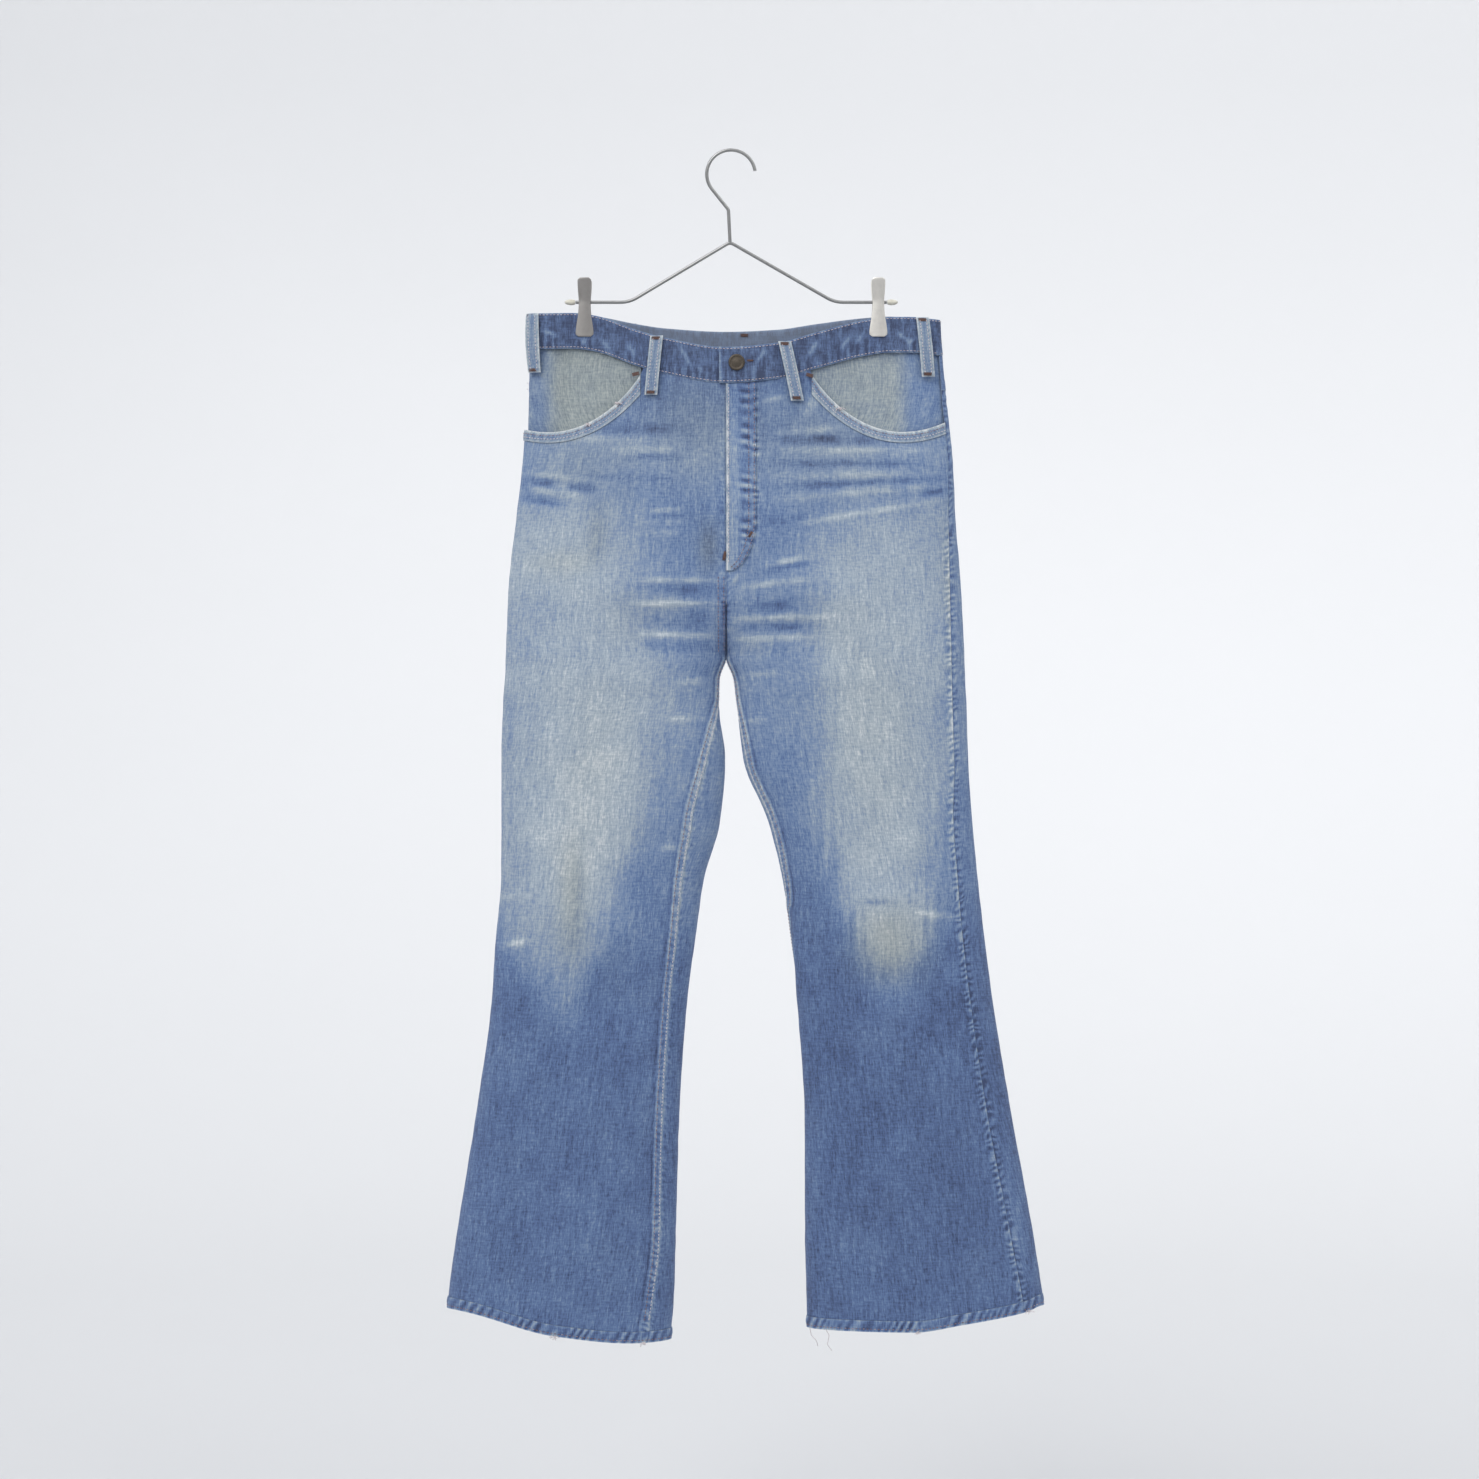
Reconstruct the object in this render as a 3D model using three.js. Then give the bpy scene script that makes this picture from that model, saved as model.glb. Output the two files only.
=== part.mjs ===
import * as THREE from 'three';

// Flared jeans that hang by the waistband from a wire hanger with two clips.
// Millimetres, +Z up. The origin is where the hook rests, a drop is a distance below it, the
// fronts face -Y, and left and right are the wearer's, so the left leg lies towards +X.

// The cloth
const clothWall = 1.3;
const seamGap = 0.3;
const riseSeamX = -5;
const forkDrop = 463;
const crotchDrop = 520;
const legRoundness = 3;
const seatRoundness = 4;
const waistRoundness = 16;
const waistBlend = 130;
const hemHeight = 11.5;
const hemProud = 0.8;

// The waistband, whose left end laps over its right end
const bandHeight = 37;
const bandProud = 0.6;
const bandWall = 3;
const lapWall = 2.2;
const lapStart = -12;
const lapEnd = 9;
const lapRunOut = 26;

// The scooped pockets, measured from the rise seam
const scoopStart = 88;
const scoopDeepest = 181;
const scoopTop = 231;
const scoopFall = 60;
const rimWidth = 11;
const layerWall = 1;
const layerGap = 0.6;
const facingInset = 1.3;
const facingWall = 1.2;

// The fly flap, the yokes and the back pockets
const flyWidth = 30;
const flyBend = 381;
const flyEnd = 434;
const yokeSideDrop = 247;
const yokeCentreDrop = 291;
const yokeReach = 210;
const pocketCentre = 95;
const pocketTop = 302;
const pocketHeight = 146;
const pocketPoint = 12;
const pocketTopWidth = 150;
const pocketFootWidth = 130;

// Loops, button and hanger
const loopWidth = 13;
const loopLength = 61;
const loopWall = 1.6;
const loopStand = 3;
const buttonRadius = 8.5;
const buttonX = 5.8;
const buttonDrop = 220;
const wireRadius = 1.75;
const hookRadius = 25;
const armDrop = 155.5;
const neckDrop = 93.5;
const neckX = -1;
const armCorners = [-105, 107];
const armEnds = [-160.5, 161];
const clipCentres = [-151, 152];
const springRadius = 4.5;
const springWidth = 8;
const plateWall = 1.2;
const plateCrown = 1;

function table(columns, rows) {
  return rows.map((row) => Object.fromEntries(columns.map((column, i) => [column, row[i]])));
}

// Top edge of the waistband: drop of its front and its back, and half the depth between them.
// The two clips pinch front and back together.
const waistline = table(['x', 'front', 'back', 'depth'], [
  [-210, 168, 168, 11],
  [-186, 168, 168, 11],
  [-163, 167, 168, 4.2],
  [-139, 170, 170, 4.2],
  [-98, 185, 177, 11],
  [-67, 194, 181, 15],
  [-5, 204, 184, 19],
  [49, 199, 182, 17],
  [88, 188, 177, 12],
  [140, 174, 171.5, 4.2],
  [164, 171, 170, 4.2],
  [190, 172, 171, 11],
  [216, 174, 174, 11],
]);

// One row for each level of a half: the x of its outer and inner edge, how far its inseam and
// outseam lie from those edges (in front where positive, behind where negative), and the depth
// of its front and back. The cloth is twisted, so both seams of a leg lie towards -X in front.
const sectionColumns = ['drop', 'outer', 'inner', 'inseam', 'outseam', 'front', 'back'];
const rightSections = table(sectionColumns, [
  [168, -210, -5.15, 0, -2, 18, 18],
  [257, -211, -5.15, 0, -2, 20, 23],
  [319, -215, -5.15, 0, -4, 26, 31],
  [381, -222, -5.15, 0, -6, 30, 37],
  [443, -229, -5.15, 0, -8, 31, 38],
  [520, -232.5, -5.15, 0, -10, 30, 36],
  [545, -233.5, -12.5, 0, -11, 30, 35],
  [566, -235, -13, 0, -12, 29, 34],
  [628, -237, -6, 19, -13, 28, 32],
  [690, -237, -11, 29, -14, 27, 30],
  [752, -237.5, -28, 22, -16, 26, 29],
  [814, -243, -37, 19, -18, 25, 27],
  [875, -247, -45, 17.5, -20, 25, 27],
  [999, -264, -53.5, 16.5, -22, 27, 29],
  [1123, -284, -57, 16, -22, 29, 31],
  [1184, -292, -59, 21, -21, 30, 32],
  [1230, -295, -62, 24, -20, 31, 33],
]);
const leftSections = table(sectionColumns, [
  [168, 216, -4.85, 0, 3, 18, 18],
  [257, 222.5, -4.85, 0, 4.5, 20, 23],
  [319, 229, -4.85, 0, 5.5, 26, 31],
  [381, 232, -4.85, 0, 8, 30, 37],
  [443, 237, -4.85, 0, 12, 31, 38],
  [520, 241, -4.85, 0, 14.5, 30, 36],
  [545, 242, 3.5, 0, 15, 30, 35],
  [566, 243, 6, 0, 15.5, 29, 34],
  [628, 245, 13, 3, 15.5, 28, 32],
  [690, 249, 38, 3, 20.5, 27, 30],
  [752, 255, 53.5, 1.5, 22, 26, 29],
  [814, 262, 63, -3, 23.5, 25, 27],
  [875, 270, 68, -10, 24, 25, 27],
  [999, 290.5, 76, -15, 26, 27, 29],
  [1123, 313, 76.5, -16, 24.5, 29, 31],
  [1184, 322, 78, -18, 22.5, 30, 32],
  [1230, 326, 79, -20, 22, 31, 33],
]);
// A half is sewn and shaped at the same reaches from the rise seam on its front and its back
const halves = [
  {
    name: 'right',
    side: -1,
    sections: rightSections,
    reaches: [0, 22, 45, 67, scoopStart, 112, 134, 158, 170, 183, 194, 201],
  },
  {
    name: 'left',
    side: 1,
    sections: leftSections,
    reaches: [0, 14, 31, 50, 70, scoopStart, 116, 145, 169, 182, 195, 208, 216],
  },
];

// Lower edge of the two hems
const hemline = table(['x', 'drop'], [
  [-292, 1193],
  [-180, 1218],
  [-95, 1226],
  [-62, 1225],
  [80, 1213],
  [188, 1214],
  [235, 1207],
  [303, 1195],
  [320, 1190],
]);

// The largest folds: where each lies, its slope from level, its length and width, and how far
// it stands out (or sinks in, where negative)
const folds = table(['face', 'x', 'drop', 'slope', 'length', 'width', 'rise'], [
  ['front', -95, 452, 8, 170, 24, 3],
  ['front', -80, 500, 14, 150, 22, -3],
  ['front', 90, 458, -8, 170, 24, 3],
  ['front', 85, 505, -14, 150, 22, -3],
  ['front', -150, 800, -12, 190, 30, 3.5],
  ['front', -120, 880, 10, 160, 30, -3],
  ['front', 160, 790, 12, 180, 30, 3.5],
  ['front', 175, 865, -10, 160, 30, -3],
  ['front', -150, 1060, 86, 380, 34, 3],
  ['front', -215, 1090, 80, 320, 26, -3],
  ['front', 165, 1060, 92, 380, 34, 3],
  ['front', 250, 1090, 100, 320, 26, -3],
  ['back', -90, 490, -20, 190, 26, -4],
  ['back', -110, 545, -26, 180, 26, 4],
  ['back', 85, 490, 20, 190, 26, -4],
  ['back', 110, 545, 26, 180, 26, 4],
  ['back', -125, 815, 6, 190, 30, -4],
  ['back', 165, 825, -6, 190, 30, -4],
  ['back', -170, 1050, 84, 380, 34, 4],
  ['back', 200, 1050, 96, 380, 34, 4],
]);

// Seven belt loops: where each crosses the band's top edge, how far its foot leans to +X, and
// how far the foot stands off the cloth (over a pocket rim on the two front ones)
const beltLoops = table(['face', 'x', 'lean', 'foot'], [
  ['front', -204, 2, 0.7],
  ['front', -76, -6, 1.7],
  ['front', 55, 13, 1.7],
  ['front', 197, 6, 0.7],
  ['back', 110, 3, 0.7],
  ['back', 6, 0, 0.7],
  ['back', -104, -3, 0.7],
]);

// Grip plate of a clip: half its width and how far its inner face is from the wire's plane
const gripProfile = table(['drop', 'half', 'out'], [
  [131, 6.6, 8.6],
  [134, 7.2, 8.3],
  [143, 6.9, 6.8],
  [155.5, 6.1, 5],
  [166, 6.5, 5.2],
  [180, 8.6, 5.2],
  [188, 9.4, 5.2],
  [191.6, 8.8, 5.4],
]);

const { lerp, smoothstep, degToRad } = THREE.MathUtils;

function slopeAt(rows, key, column, i) {
  if (i === 0 || i === rows.length - 1) return 0;
  const before = (rows[i][column] - rows[i - 1][column]) / (rows[i][key] - rows[i - 1][key]);
  const after = (rows[i + 1][column] - rows[i][column]) / (rows[i + 1][key] - rows[i][key]);
  return before * after > 0 ? (2 * before * after) / (before + after) : 0;
}

// A smooth reading of one column between the rows, which never swings past them
function read(rows, key, column, at) {
  const last = rows.length - 1;
  if (at <= rows[0][key]) return rows[0][column];
  if (at >= rows[last][key]) return rows[last][column];
  const i = rows.findIndex((row) => row[key] > at) - 1;
  const span = rows[i + 1][key] - rows[i][key];
  const s = (at - rows[i][key]) / span;
  const eased = s * s * (3 - 2 * s);
  const leaving = slopeAt(rows, key, column, i) * span * s * (1 - s) * (1 - s);
  const arriving = slopeAt(rows, key, column, i + 1) * span * s * s * (s - 1);
  return lerp(rows[i][column], rows[i + 1][column], eased) + leaving + arriving;
}

function bandTop(x, isFront) {
  return read(waistline, 'x', isFront ? 'front' : 'back', x);
}

function waistSeam(x, isFront) {
  return bandTop(x, isFront) + bandHeight;
}

function foldRise(x, drop, isFront) {
  let rise = 0;
  for (const fold of folds.filter((row) => (row.face === 'front') === isFront)) {
    const slope = degToRad(fold.slope);
    const dx = x - fold.x;
    const dz = fold.drop - drop;
    const along = (dx * Math.cos(slope) + dz * Math.sin(slope)) / (fold.length / 2);
    const across = (dz * Math.cos(slope) - dx * Math.sin(slope)) / fold.width;
    if (Math.abs(along) < 1) {
      rise += fold.rise * (1 - along * along) ** 2 * Math.exp(-across * across);
    }
  }
  return rise;
}

// Depth of the hips at x: pinched as the waistband is at the top, full and oval lower down
function hipDepth(x, drop, isFront, fullness) {
  const rightEdge = read(rightSections, 'drop', 'outer', drop);
  const leftEdge = read(leftSections, 'drop', 'outer', drop);
  const span = Math.abs((2 * x - rightEdge - leftEdge) / (leftEdge - rightEdge));
  const share = Math.min(span, 1);
  const pinched = read(waistline, 'x', 'depth', x) * Math.sqrt(1 - share ** waistRoundness);
  const full = fullness * Math.sqrt(1 - share ** seatRoundness);
  const seam = waistSeam(x, isFront);
  return lerp(pinched, full, smoothstep(drop, seam, seam + waistBlend));
}

// A point of the cloth's outside. turn runs round a half from its inner edge (0) over the front
// to its outer edge (0.5) and over the back to the inner edge again (1).
function clothPoint(half, turn, drop) {
  const round = turn < 0 ? turn + 1 : turn > 1 ? turn - 1 : turn;
  const isFront = round < 0.5;
  const share = (1 - Math.cos(2 * Math.PI * round)) / 2;
  const outer = read(half.sections, 'drop', 'outer', drop);
  const inner = read(half.sections, 'drop', 'inner', drop);
  const x = lerp(inner, outer, share);
  const fullness = read(half.sections, 'drop', isFront ? 'front' : 'back', drop);
  const edge = Math.sqrt(1 - Math.abs(2 * share - 1) ** legRoundness);
  const fork = Math.min(Math.max((drop - forkDrop) / (crotchDrop - forkDrop), 0), 1) ** 1.3;
  const hip = fork < 1 ? hipDepth(x, drop, isFront, fullness) : 0;
  const depth = lerp(hip, fullness * edge, fork) + foldRise(x, drop, isFront) * edge;
  return new THREE.Vector3(x, isFront ? -depth : depth, -drop);
}

function clothNormal(half, turn, drop) {
  const step = 0.004;
  const open = drop < crotchDrop;
  const before = open ? Math.max(turn - step, 0) : turn - step;
  const after = open ? Math.min(turn + step, 1) : turn + step;
  const around = clothPoint(half, after, drop).sub(clothPoint(half, before, drop));
  const down = clothPoint(half, turn, drop + 1).sub(clothPoint(half, turn, drop - 1));
  return down.cross(around).multiplyScalar(half.side).normalize();
}

function movedOut(half, turn, drop, distance) {
  return clothPoint(half, turn, drop).addScaledVector(clothNormal(half, turn, drop), distance);
}

// The turn that lies a given way further round the cloth
function furtherRound(half, turn, drop, distance) {
  const steps = 8;
  const probe = 0.0005 * Math.sign(distance);
  let at = turn;
  for (let i = 0; i < steps; i += 1) {
    const reach = clothPoint(half, at + probe, drop).distanceTo(clothPoint(half, at, drop));
    at += (probe * Math.abs(distance)) / steps / Math.max(reach, 1e-6);
  }
  return at;
}

function turnAtX(half, x, drop, isFront) {
  const outer = read(half.sections, 'drop', 'outer', drop);
  const inner = read(half.sections, 'drop', 'inner', drop);
  const share = Math.min(Math.max((x - inner) / (outer - inner), 0), 1);
  const turn = Math.acos(1 - 2 * share) / (2 * Math.PI);
  return isFront ? turn : 1 - turn;
}

function seamTurn(half, seam, drop) {
  const outer = read(half.sections, 'drop', 'outer', drop);
  const inner = read(half.sections, 'drop', 'inner', drop);
  const inset = read(half.sections, 'drop', seam, drop);
  const share = Math.abs(inset) / Math.abs(outer - inner);
  const swing = (Math.sign(inset) * Math.acos(1 - 2 * share)) / (2 * Math.PI);
  return seam === 'inseam' ? swing : 0.5 - swing;
}

const frontEdges = {
  start: (half, drop) => (drop < crotchDrop ? 0
    : furtherRound(half, seamTurn(half, 'inseam', drop), drop, seamGap / 2)),
  end: (half, drop) => furtherRound(half, seamTurn(half, 'outseam', drop), drop, -seamGap / 2),
};
const backEdges = {
  start: (half, drop) => furtherRound(half, seamTurn(half, 'outseam', drop), drop, seamGap / 2),
  end: (half, drop) => (drop < crotchDrop ? 1
    : furtherRound(half, 1 + seamTurn(half, 'inseam', drop), drop, -seamGap / 2)),
};

// Where a seam line that is given by x crosses the column at share u of a panel
function settle(half, edges, u, guess, lineAt) {
  let drop = guess;
  for (let i = 0; i < 4; i += 1) {
    const turn = lerp(edges.start(half, drop), edges.end(half, drop), u);
    drop = lineAt(half, clothPoint(half, turn, drop).x);
  }
  return drop;
}

// A closed wall between an outer and an inner grid of points
function wall(columns, rows, outerAt, innerAt) {
  const corners = [];
  for (const pointAt of [outerAt, innerAt]) {
    for (let i = 0; i <= columns; i += 1) {
      for (let j = 0; j <= rows; j += 1) corners.push(pointAt(i, j));
    }
  }
  const at = (i, j, layer) => (layer * (columns + 1) + i) * (rows + 1) + j;
  const index = [];
  const quad = (a, b, c, d) => index.push(a, b, c, a, c, d);
  for (let i = 0; i < columns; i += 1) {
    for (let j = 0; j < rows; j += 1) {
      quad(at(i, j, 0), at(i + 1, j, 0), at(i + 1, j + 1, 0), at(i, j + 1, 0));
      quad(at(i, j, 1), at(i, j + 1, 1), at(i + 1, j + 1, 1), at(i + 1, j, 1));
    }
    quad(at(i, 0, 0), at(i, 0, 1), at(i + 1, 0, 1), at(i + 1, 0, 0));
    quad(at(i, rows, 0), at(i + 1, rows, 0), at(i + 1, rows, 1), at(i, rows, 1));
  }
  for (let j = 0; j < rows; j += 1) {
    quad(at(0, j, 0), at(0, j + 1, 0), at(0, j + 1, 1), at(0, j, 1));
    quad(at(columns, j, 0), at(columns, j, 1), at(columns, j + 1, 1), at(columns, j + 1, 0));
  }
  const geometry = new THREE.BufferGeometry().setFromPoints(corners);
  geometry.setIndex(facesOut(corners, index));
  geometry.computeVertexNormals();
  return geometry;
}

function facesOut(corners, index) {
  let volume = 0;
  for (let k = 0; k < index.length; k += 3) {
    const [a, b, c] = [corners[index[k]], corners[index[k + 1]], corners[index[k + 2]]];
    volume += a.dot(new THREE.Vector3().crossVectors(b, c));
  }
  return volume > 0 ? index : index.slice().reverse();
}

const colours = {
  denim: 0x6f86ae,
  facing: 0x97a0a5,
  steel: 0xaaa9a6,
  bronze: 0x58544e,
  cap: 0xd6d2c4,
};

function add(group, name, geometry, colour, roughness = 0.9, metalness = 0) {
  const material = new THREE.MeshStandardMaterial({ color: colour, roughness, metalness });
  const mesh = new THREE.Mesh(geometry, material);
  mesh.name = name;
  group.add(mesh);
  return mesh;
}

// Where the columns of a panel lie between its two seams, from 0 to 1
function columnShares(half, edges, firstReach = 0) {
  const start = edges.start(half, scoopTop);
  const end = edges.end(half, scoopTop);
  const isFront = edges === frontEdges;
  const inside = half.reaches.filter((reach) => reach >= firstReach).map((reach) => {
    const turn = turnAtX(half, riseSeamX + half.side * reach, scoopTop, isFront);
    return (turn - start) / (end - start);
  });
  return isFront ? [...inside, 1] : [0, ...inside.reverse()];
}

// A wall of cloth whose columns and rows run between seams and level lines
function clothPanel(half, edges, shares, rowCounts, levels, outerOffset, innerOffset) {
  const rows = rowCounts.reduce((sum, count) => sum + count, 0);
  const columns = shares.length - 1;
  const place = (i, j, distance) => {
    const u = shares[i];
    let level = 0;
    let row = j;
    while (row > rowCounts[level]) {
      row -= rowCounts[level];
      level += 1;
    }
    const top = levels[level](half, edges, u);
    const bottom = levels[level + 1](half, edges, u);
    const drop = lerp(top, bottom, row / rowCounts[level]);
    const turn = lerp(edges.start(half, drop), edges.end(half, drop), u);
    return movedOut(half, turn, drop, distance);
  };
  return wall(columns, rows, (i, j) => place(i, j, outerOffset), (i, j) => place(i, j, innerOffset));
}

function levelLine(guess, lineAt) {
  return (half, edges, u) => settle(half, edges, u, guess, lineAt);
}

function scoopDrop(half, x) {
  const reach = Math.abs(x - riseSeamX);
  if (reach < scoopStart - 1) return waistSeam(x, true);
  const inward = Math.max((scoopDeepest - reach) / (scoopDeepest - scoopStart), 0);
  const outward = Math.max(reach - scoopDeepest, 0) / 30;
  return scoopTop + scoopFall * (1 - inward * inward) ** 0.9 - 5 * outward * outward;
}

function yokeDrop(half, x) {
  const share = Math.min(Math.abs(x - riseSeamX) / yokeReach, 1);
  return lerp(yokeCentreDrop, yokeSideDrop, share);
}

function hemDrop(half, x) {
  return read(hemline, 'x', 'drop', x);
}

// Lower edge of the rim that is turned along a scoop, as wide as the rim square to its edge
function rimDrop(half, x) {
  const probe = 2;
  const outwards = Math.max(Math.abs(x - riseSeamX), scoopStart);
  const at = riseSeamX + half.side * outwards;
  const steepness = (scoopDrop(half, at + half.side * probe) - scoopDrop(half, at)) / probe;
  return scoopDrop(half, x) + rimWidth * Math.hypot(1, Math.min(steepness, 1.6));
}

const forkLine = () => forkDrop;
const crotchLine = () => crotchDrop;
const scoopLine = levelLine(260, (half, x) => scoopDrop(half, x) + seamGap / 2);
const rimLine = levelLine(270, rimDrop);
const hemTopLine = levelLine(1200, (half, x) => hemDrop(half, x) - hemHeight - seamGap / 2);

function addFront(group, half) {
  const levels = [scoopLine, rimLine, forkLine, crotchLine, hemTopLine];
  const shares = columnShares(half, frontEdges);
  const shape = clothPanel(half, frontEdges, shares, [1, 6, 4, 16], levels, 0, -clothWall);
  add(group, `front_${half.name}`, shape, colours.denim);
}

function addPocketRim(group, half) {
  const shares = columnShares(half, frontEdges, scoopStart);
  const levels = [scoopLine, rimLine];
  const outside = seamGap + layerWall;
  const shape = clothPanel(half, frontEdges, shares, [1], levels, outside, seamGap);
  add(group, `pocket_rim_${half.name}`, shape, colours.denim);
}

function addFacing(group, half) {
  const shares = columnShares(half, frontEdges, scoopStart);
  const top = levelLine(210, (side, x) => waistSeam(x, true) + seamGap / 2);
  const outside = -clothWall - facingInset;
  const inside = outside - facingWall;
  const shape = clothPanel(half, frontEdges, shares, [2, 1], [top, scoopLine, rimLine], outside, inside);
  add(group, `pocket_facing_${half.name}`, shape, colours.facing);
}

function addBack(group, half) {
  const yokeLine = levelLine(270, (side, x) => yokeDrop(side, x) + seamGap / 2);
  const levels = [yokeLine, forkLine, crotchLine, hemTopLine];
  const shares = columnShares(half, backEdges);
  const shape = clothPanel(half, backEdges, shares, [6, 4, 16], levels, 0, -clothWall);
  add(group, `back_${half.name}`, shape, colours.denim);
}

function addYoke(group, half) {
  const top = levelLine(210, (side, x) => waistSeam(x, false) + seamGap / 2);
  const bottom = levelLine(270, (side, x) => yokeDrop(side, x) - seamGap / 2);
  const shares = columnShares(half, backEdges);
  const shape = clothPanel(half, backEdges, shares, [3], [top, bottom], 0, -clothWall);
  add(group, `yoke_${half.name}`, shape, colours.denim);
}

function addHems(group, half) {
  const top = levelLine(1200, (side, x) => hemDrop(side, x) - hemHeight + seamGap / 2);
  const bottom = levelLine(1210, hemDrop);
  for (const [face, edges] of [['front', frontEdges], ['back', backEdges]]) {
    const shares = columnShares(half, edges);
    const shape = clothPanel(half, edges, shares, [1], [top, bottom], hemProud, -clothWall);
    add(group, `hem_${half.name}_${face}`, shape, colours.denim);
  }
}

// A layer that lies on the cloth of the hips, from points given as x and drop
function layerOnHips(columns, rows, isFront, placeAt, thickness = layerWall) {
  const lift = (distance) => (i, j) => {
    const { x, drop } = placeAt(i / columns, j / rows);
    const half = x < riseSeamX ? halves[0] : halves[1];
    return movedOut(half, turnAtX(half, x, drop, isFront), drop, distance);
  };
  return wall(columns, rows, lift(layerGap + thickness), lift(layerGap));
}

function addFlyFlap(group) {
  const firstX = riseSeamX + 0.5;
  const placeAt = (across, v) => {
    const top = waistSeam(firstX + flyWidth * across, true) + seamGap;
    const drop = lerp(top, flyEnd, v);
    const bend = Math.max((drop - flyBend) / (flyEnd + 1 - flyBend), 0);
    const width = flyWidth * Math.sqrt(1 - bend * bend);
    return { x: firstX + width * across, drop };
  };
  add(group, 'fly_flap', layerOnHips(3, 10, true, placeAt), colours.denim);
}

function addBackPocket(group, half) {
  const centre = riseSeamX + half.side * pocketCentre;
  const placeAt = (across, v) => {
    const sideways = 2 * across - 1;
    const width = lerp(pocketTopWidth, pocketFootWidth, v);
    const foot = pocketHeight + pocketPoint * (1 - Math.abs(sideways));
    const tilt = 7 * sideways * half.side;
    return { x: centre + (sideways * width) / 2, drop: pocketTop - tilt + foot * v };
  };
  const shape = layerOnHips(6, 6, false, placeAt, clothWall);
  add(group, `back_pocket_${half.name}`, shape, colours.denim);
}

// The waistband's three lengths, through places on the front or the back
function bandLength(places, outerAt, innerAt) {
  const rows = 3;
  const lift = (distanceAt) => (i, j) => {
    const { half, turn, isFront } = places[i];
    const { x } = clothPoint(half, turn, bandTop(0, true));
    const top = bandTop(x, isFront);
    const drop = lerp(top, top + bandHeight - seamGap / 2, j / rows);
    return movedOut(half, turn, drop, distanceAt(x));
  };
  return wall(places.length - 1, rows, lift(outerAt), lift(innerAt));
}

function placesOn(half, edges, firstReach = 0) {
  const level = 190;
  const [start, end] = [edges.start(half, level), edges.end(half, level)];
  const shares = columnShares(half, edges, firstReach);
  return shares.map((u) => ({ half, turn: lerp(start, end, u), isFront: edges === frontEdges }));
}

function placesAtX(half, list) {
  return list.map((x) => ({ half, turn: turnAtX(half, x, 190, true), isFront: true }));
}

function addWaistband(group) {
  const [right, left] = halves;
  const inner = bandProud - bandWall;
  const underLap = placesAtX(left, [0, lapEnd - seamGap]);
  const rightPlaces = [...placesOn(right, frontEdges).reverse(), ...underLap];
  const rightShape = bandLength(rightPlaces, () => bandProud, () => inner);
  add(group, 'waistband_front_right', rightShape, colours.denim);

  const onTop = bandProud + seamGap;
  const lap = [...placesAtX(right, [lapStart, -8]), ...placesAtX(left, [0, lapEnd, lapRunOut])];
  const leftPlaces = [...lap, ...placesOn(left, frontEdges, lapRunOut + 20)];
  const outerAt = (x) => lerp(onTop + lapWall, bandProud, smoothstep(x, lapEnd, 60));
  const innerAt = (x) => lerp(onTop, inner, smoothstep(x, lapEnd, lapRunOut));
  const leftShape = bandLength(leftPlaces, outerAt, innerAt);
  add(group, 'waistband_front_left', leftShape, colours.denim);

  const backPlaces = [...placesOn(right, backEdges), ...placesOn(left, backEdges).reverse().slice(1)];
  const backShape = bandLength(backPlaces, () => bandProud, () => inner);
  add(group, 'waistband_back', backShape, colours.denim);
}

// A loop stands off the band and comes back to the cloth at its top and its foot
function addBeltLoop(group, loop, number) {
  const isFront = loop.face === 'front';
  const half = loop.x < riseSeamX ? halves[0] : halves[1];
  const top = bandTop(loop.x, isFront);
  const columns = 2;
  const rows = 7;
  const lift = (extra) => (i, j) => {
    const v = j / rows;
    const drop = top + loopLength * v;
    const centre = turnAtX(half, loop.x + loop.lean * v, drop, isFront);
    const across = half.side * (isFront ? 1 : -1) * (i / columns - 0.5) * loopWidth;
    const turn = across === 0 ? centre : furtherRound(half, centre, drop, across);
    const stand = (loopStand - bandProud) * Math.sin(Math.PI * v) ** 0.6;
    const seat = lerp(bandProud + layerGap, loop.foot, smoothstep(v, 0.55, 0.95));
    return movedOut(half, turn, drop, seat + stand + extra);
  };
  const shape = wall(columns, rows, lift(loopWall), lift(0));
  add(group, `belt_loop_${number}`, shape, colours.denim);
}

function addButton(group) {
  const seat = movedOut(halves[1], turnAtX(halves[1], buttonX, buttonDrop, true), buttonDrop,
    bandProud + seamGap + lapWall + seamGap);
  const profile = [[0, 0], [7.2, 0], [8.3, 0.9], [buttonRadius, 1.8], [8, 2.7], [7, 3], [6.2, 2.3],
    [4, 2.5], [1.5, 3], [0, 3.1]].map(([radius, height]) => new THREE.Vector2(radius, height));
  const shape = new THREE.LatheGeometry(profile, 20);
  const mesh = add(group, 'waist_button', shape, colours.bronze, 0.45, 0.9);
  mesh.rotation.z = Math.PI;
  mesh.position.copy(seat);
}

function wireAlong(path, steps) {
  const ring = new THREE.Shape();
  ring.absarc(0, 0, wireRadius, 0, 2 * Math.PI);
  const settings = { steps, extrudePath: path, curveSegments: 4, bevelEnabled: false };
  return new THREE.ExtrudeGeometry(ring, settings);
}

function addHook(group) {
  const centre = wireRadius - hookRadius;
  const points = [];
  for (let angle = 8; angle <= 206; angle += 22) {
    const turn = degToRad(angle);
    points.push(new THREE.Vector3(hookRadius * Math.cos(turn), 0, centre + hookRadius * Math.sin(turn)));
  }
  for (const [x, drop] of [[-15, 45], [-5, 58.5], [-2.4, 66], [-1.5, 78], [neckX, 92.5]]) {
    points.push(new THREE.Vector3(x, 0, -drop));
  }
  const shape = wireAlong(new THREE.CatmullRomCurve3(points, false, 'centripetal'), 34);
  add(group, 'hanger_hook', shape, colours.steel, 0.35, 0.9);
}

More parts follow.
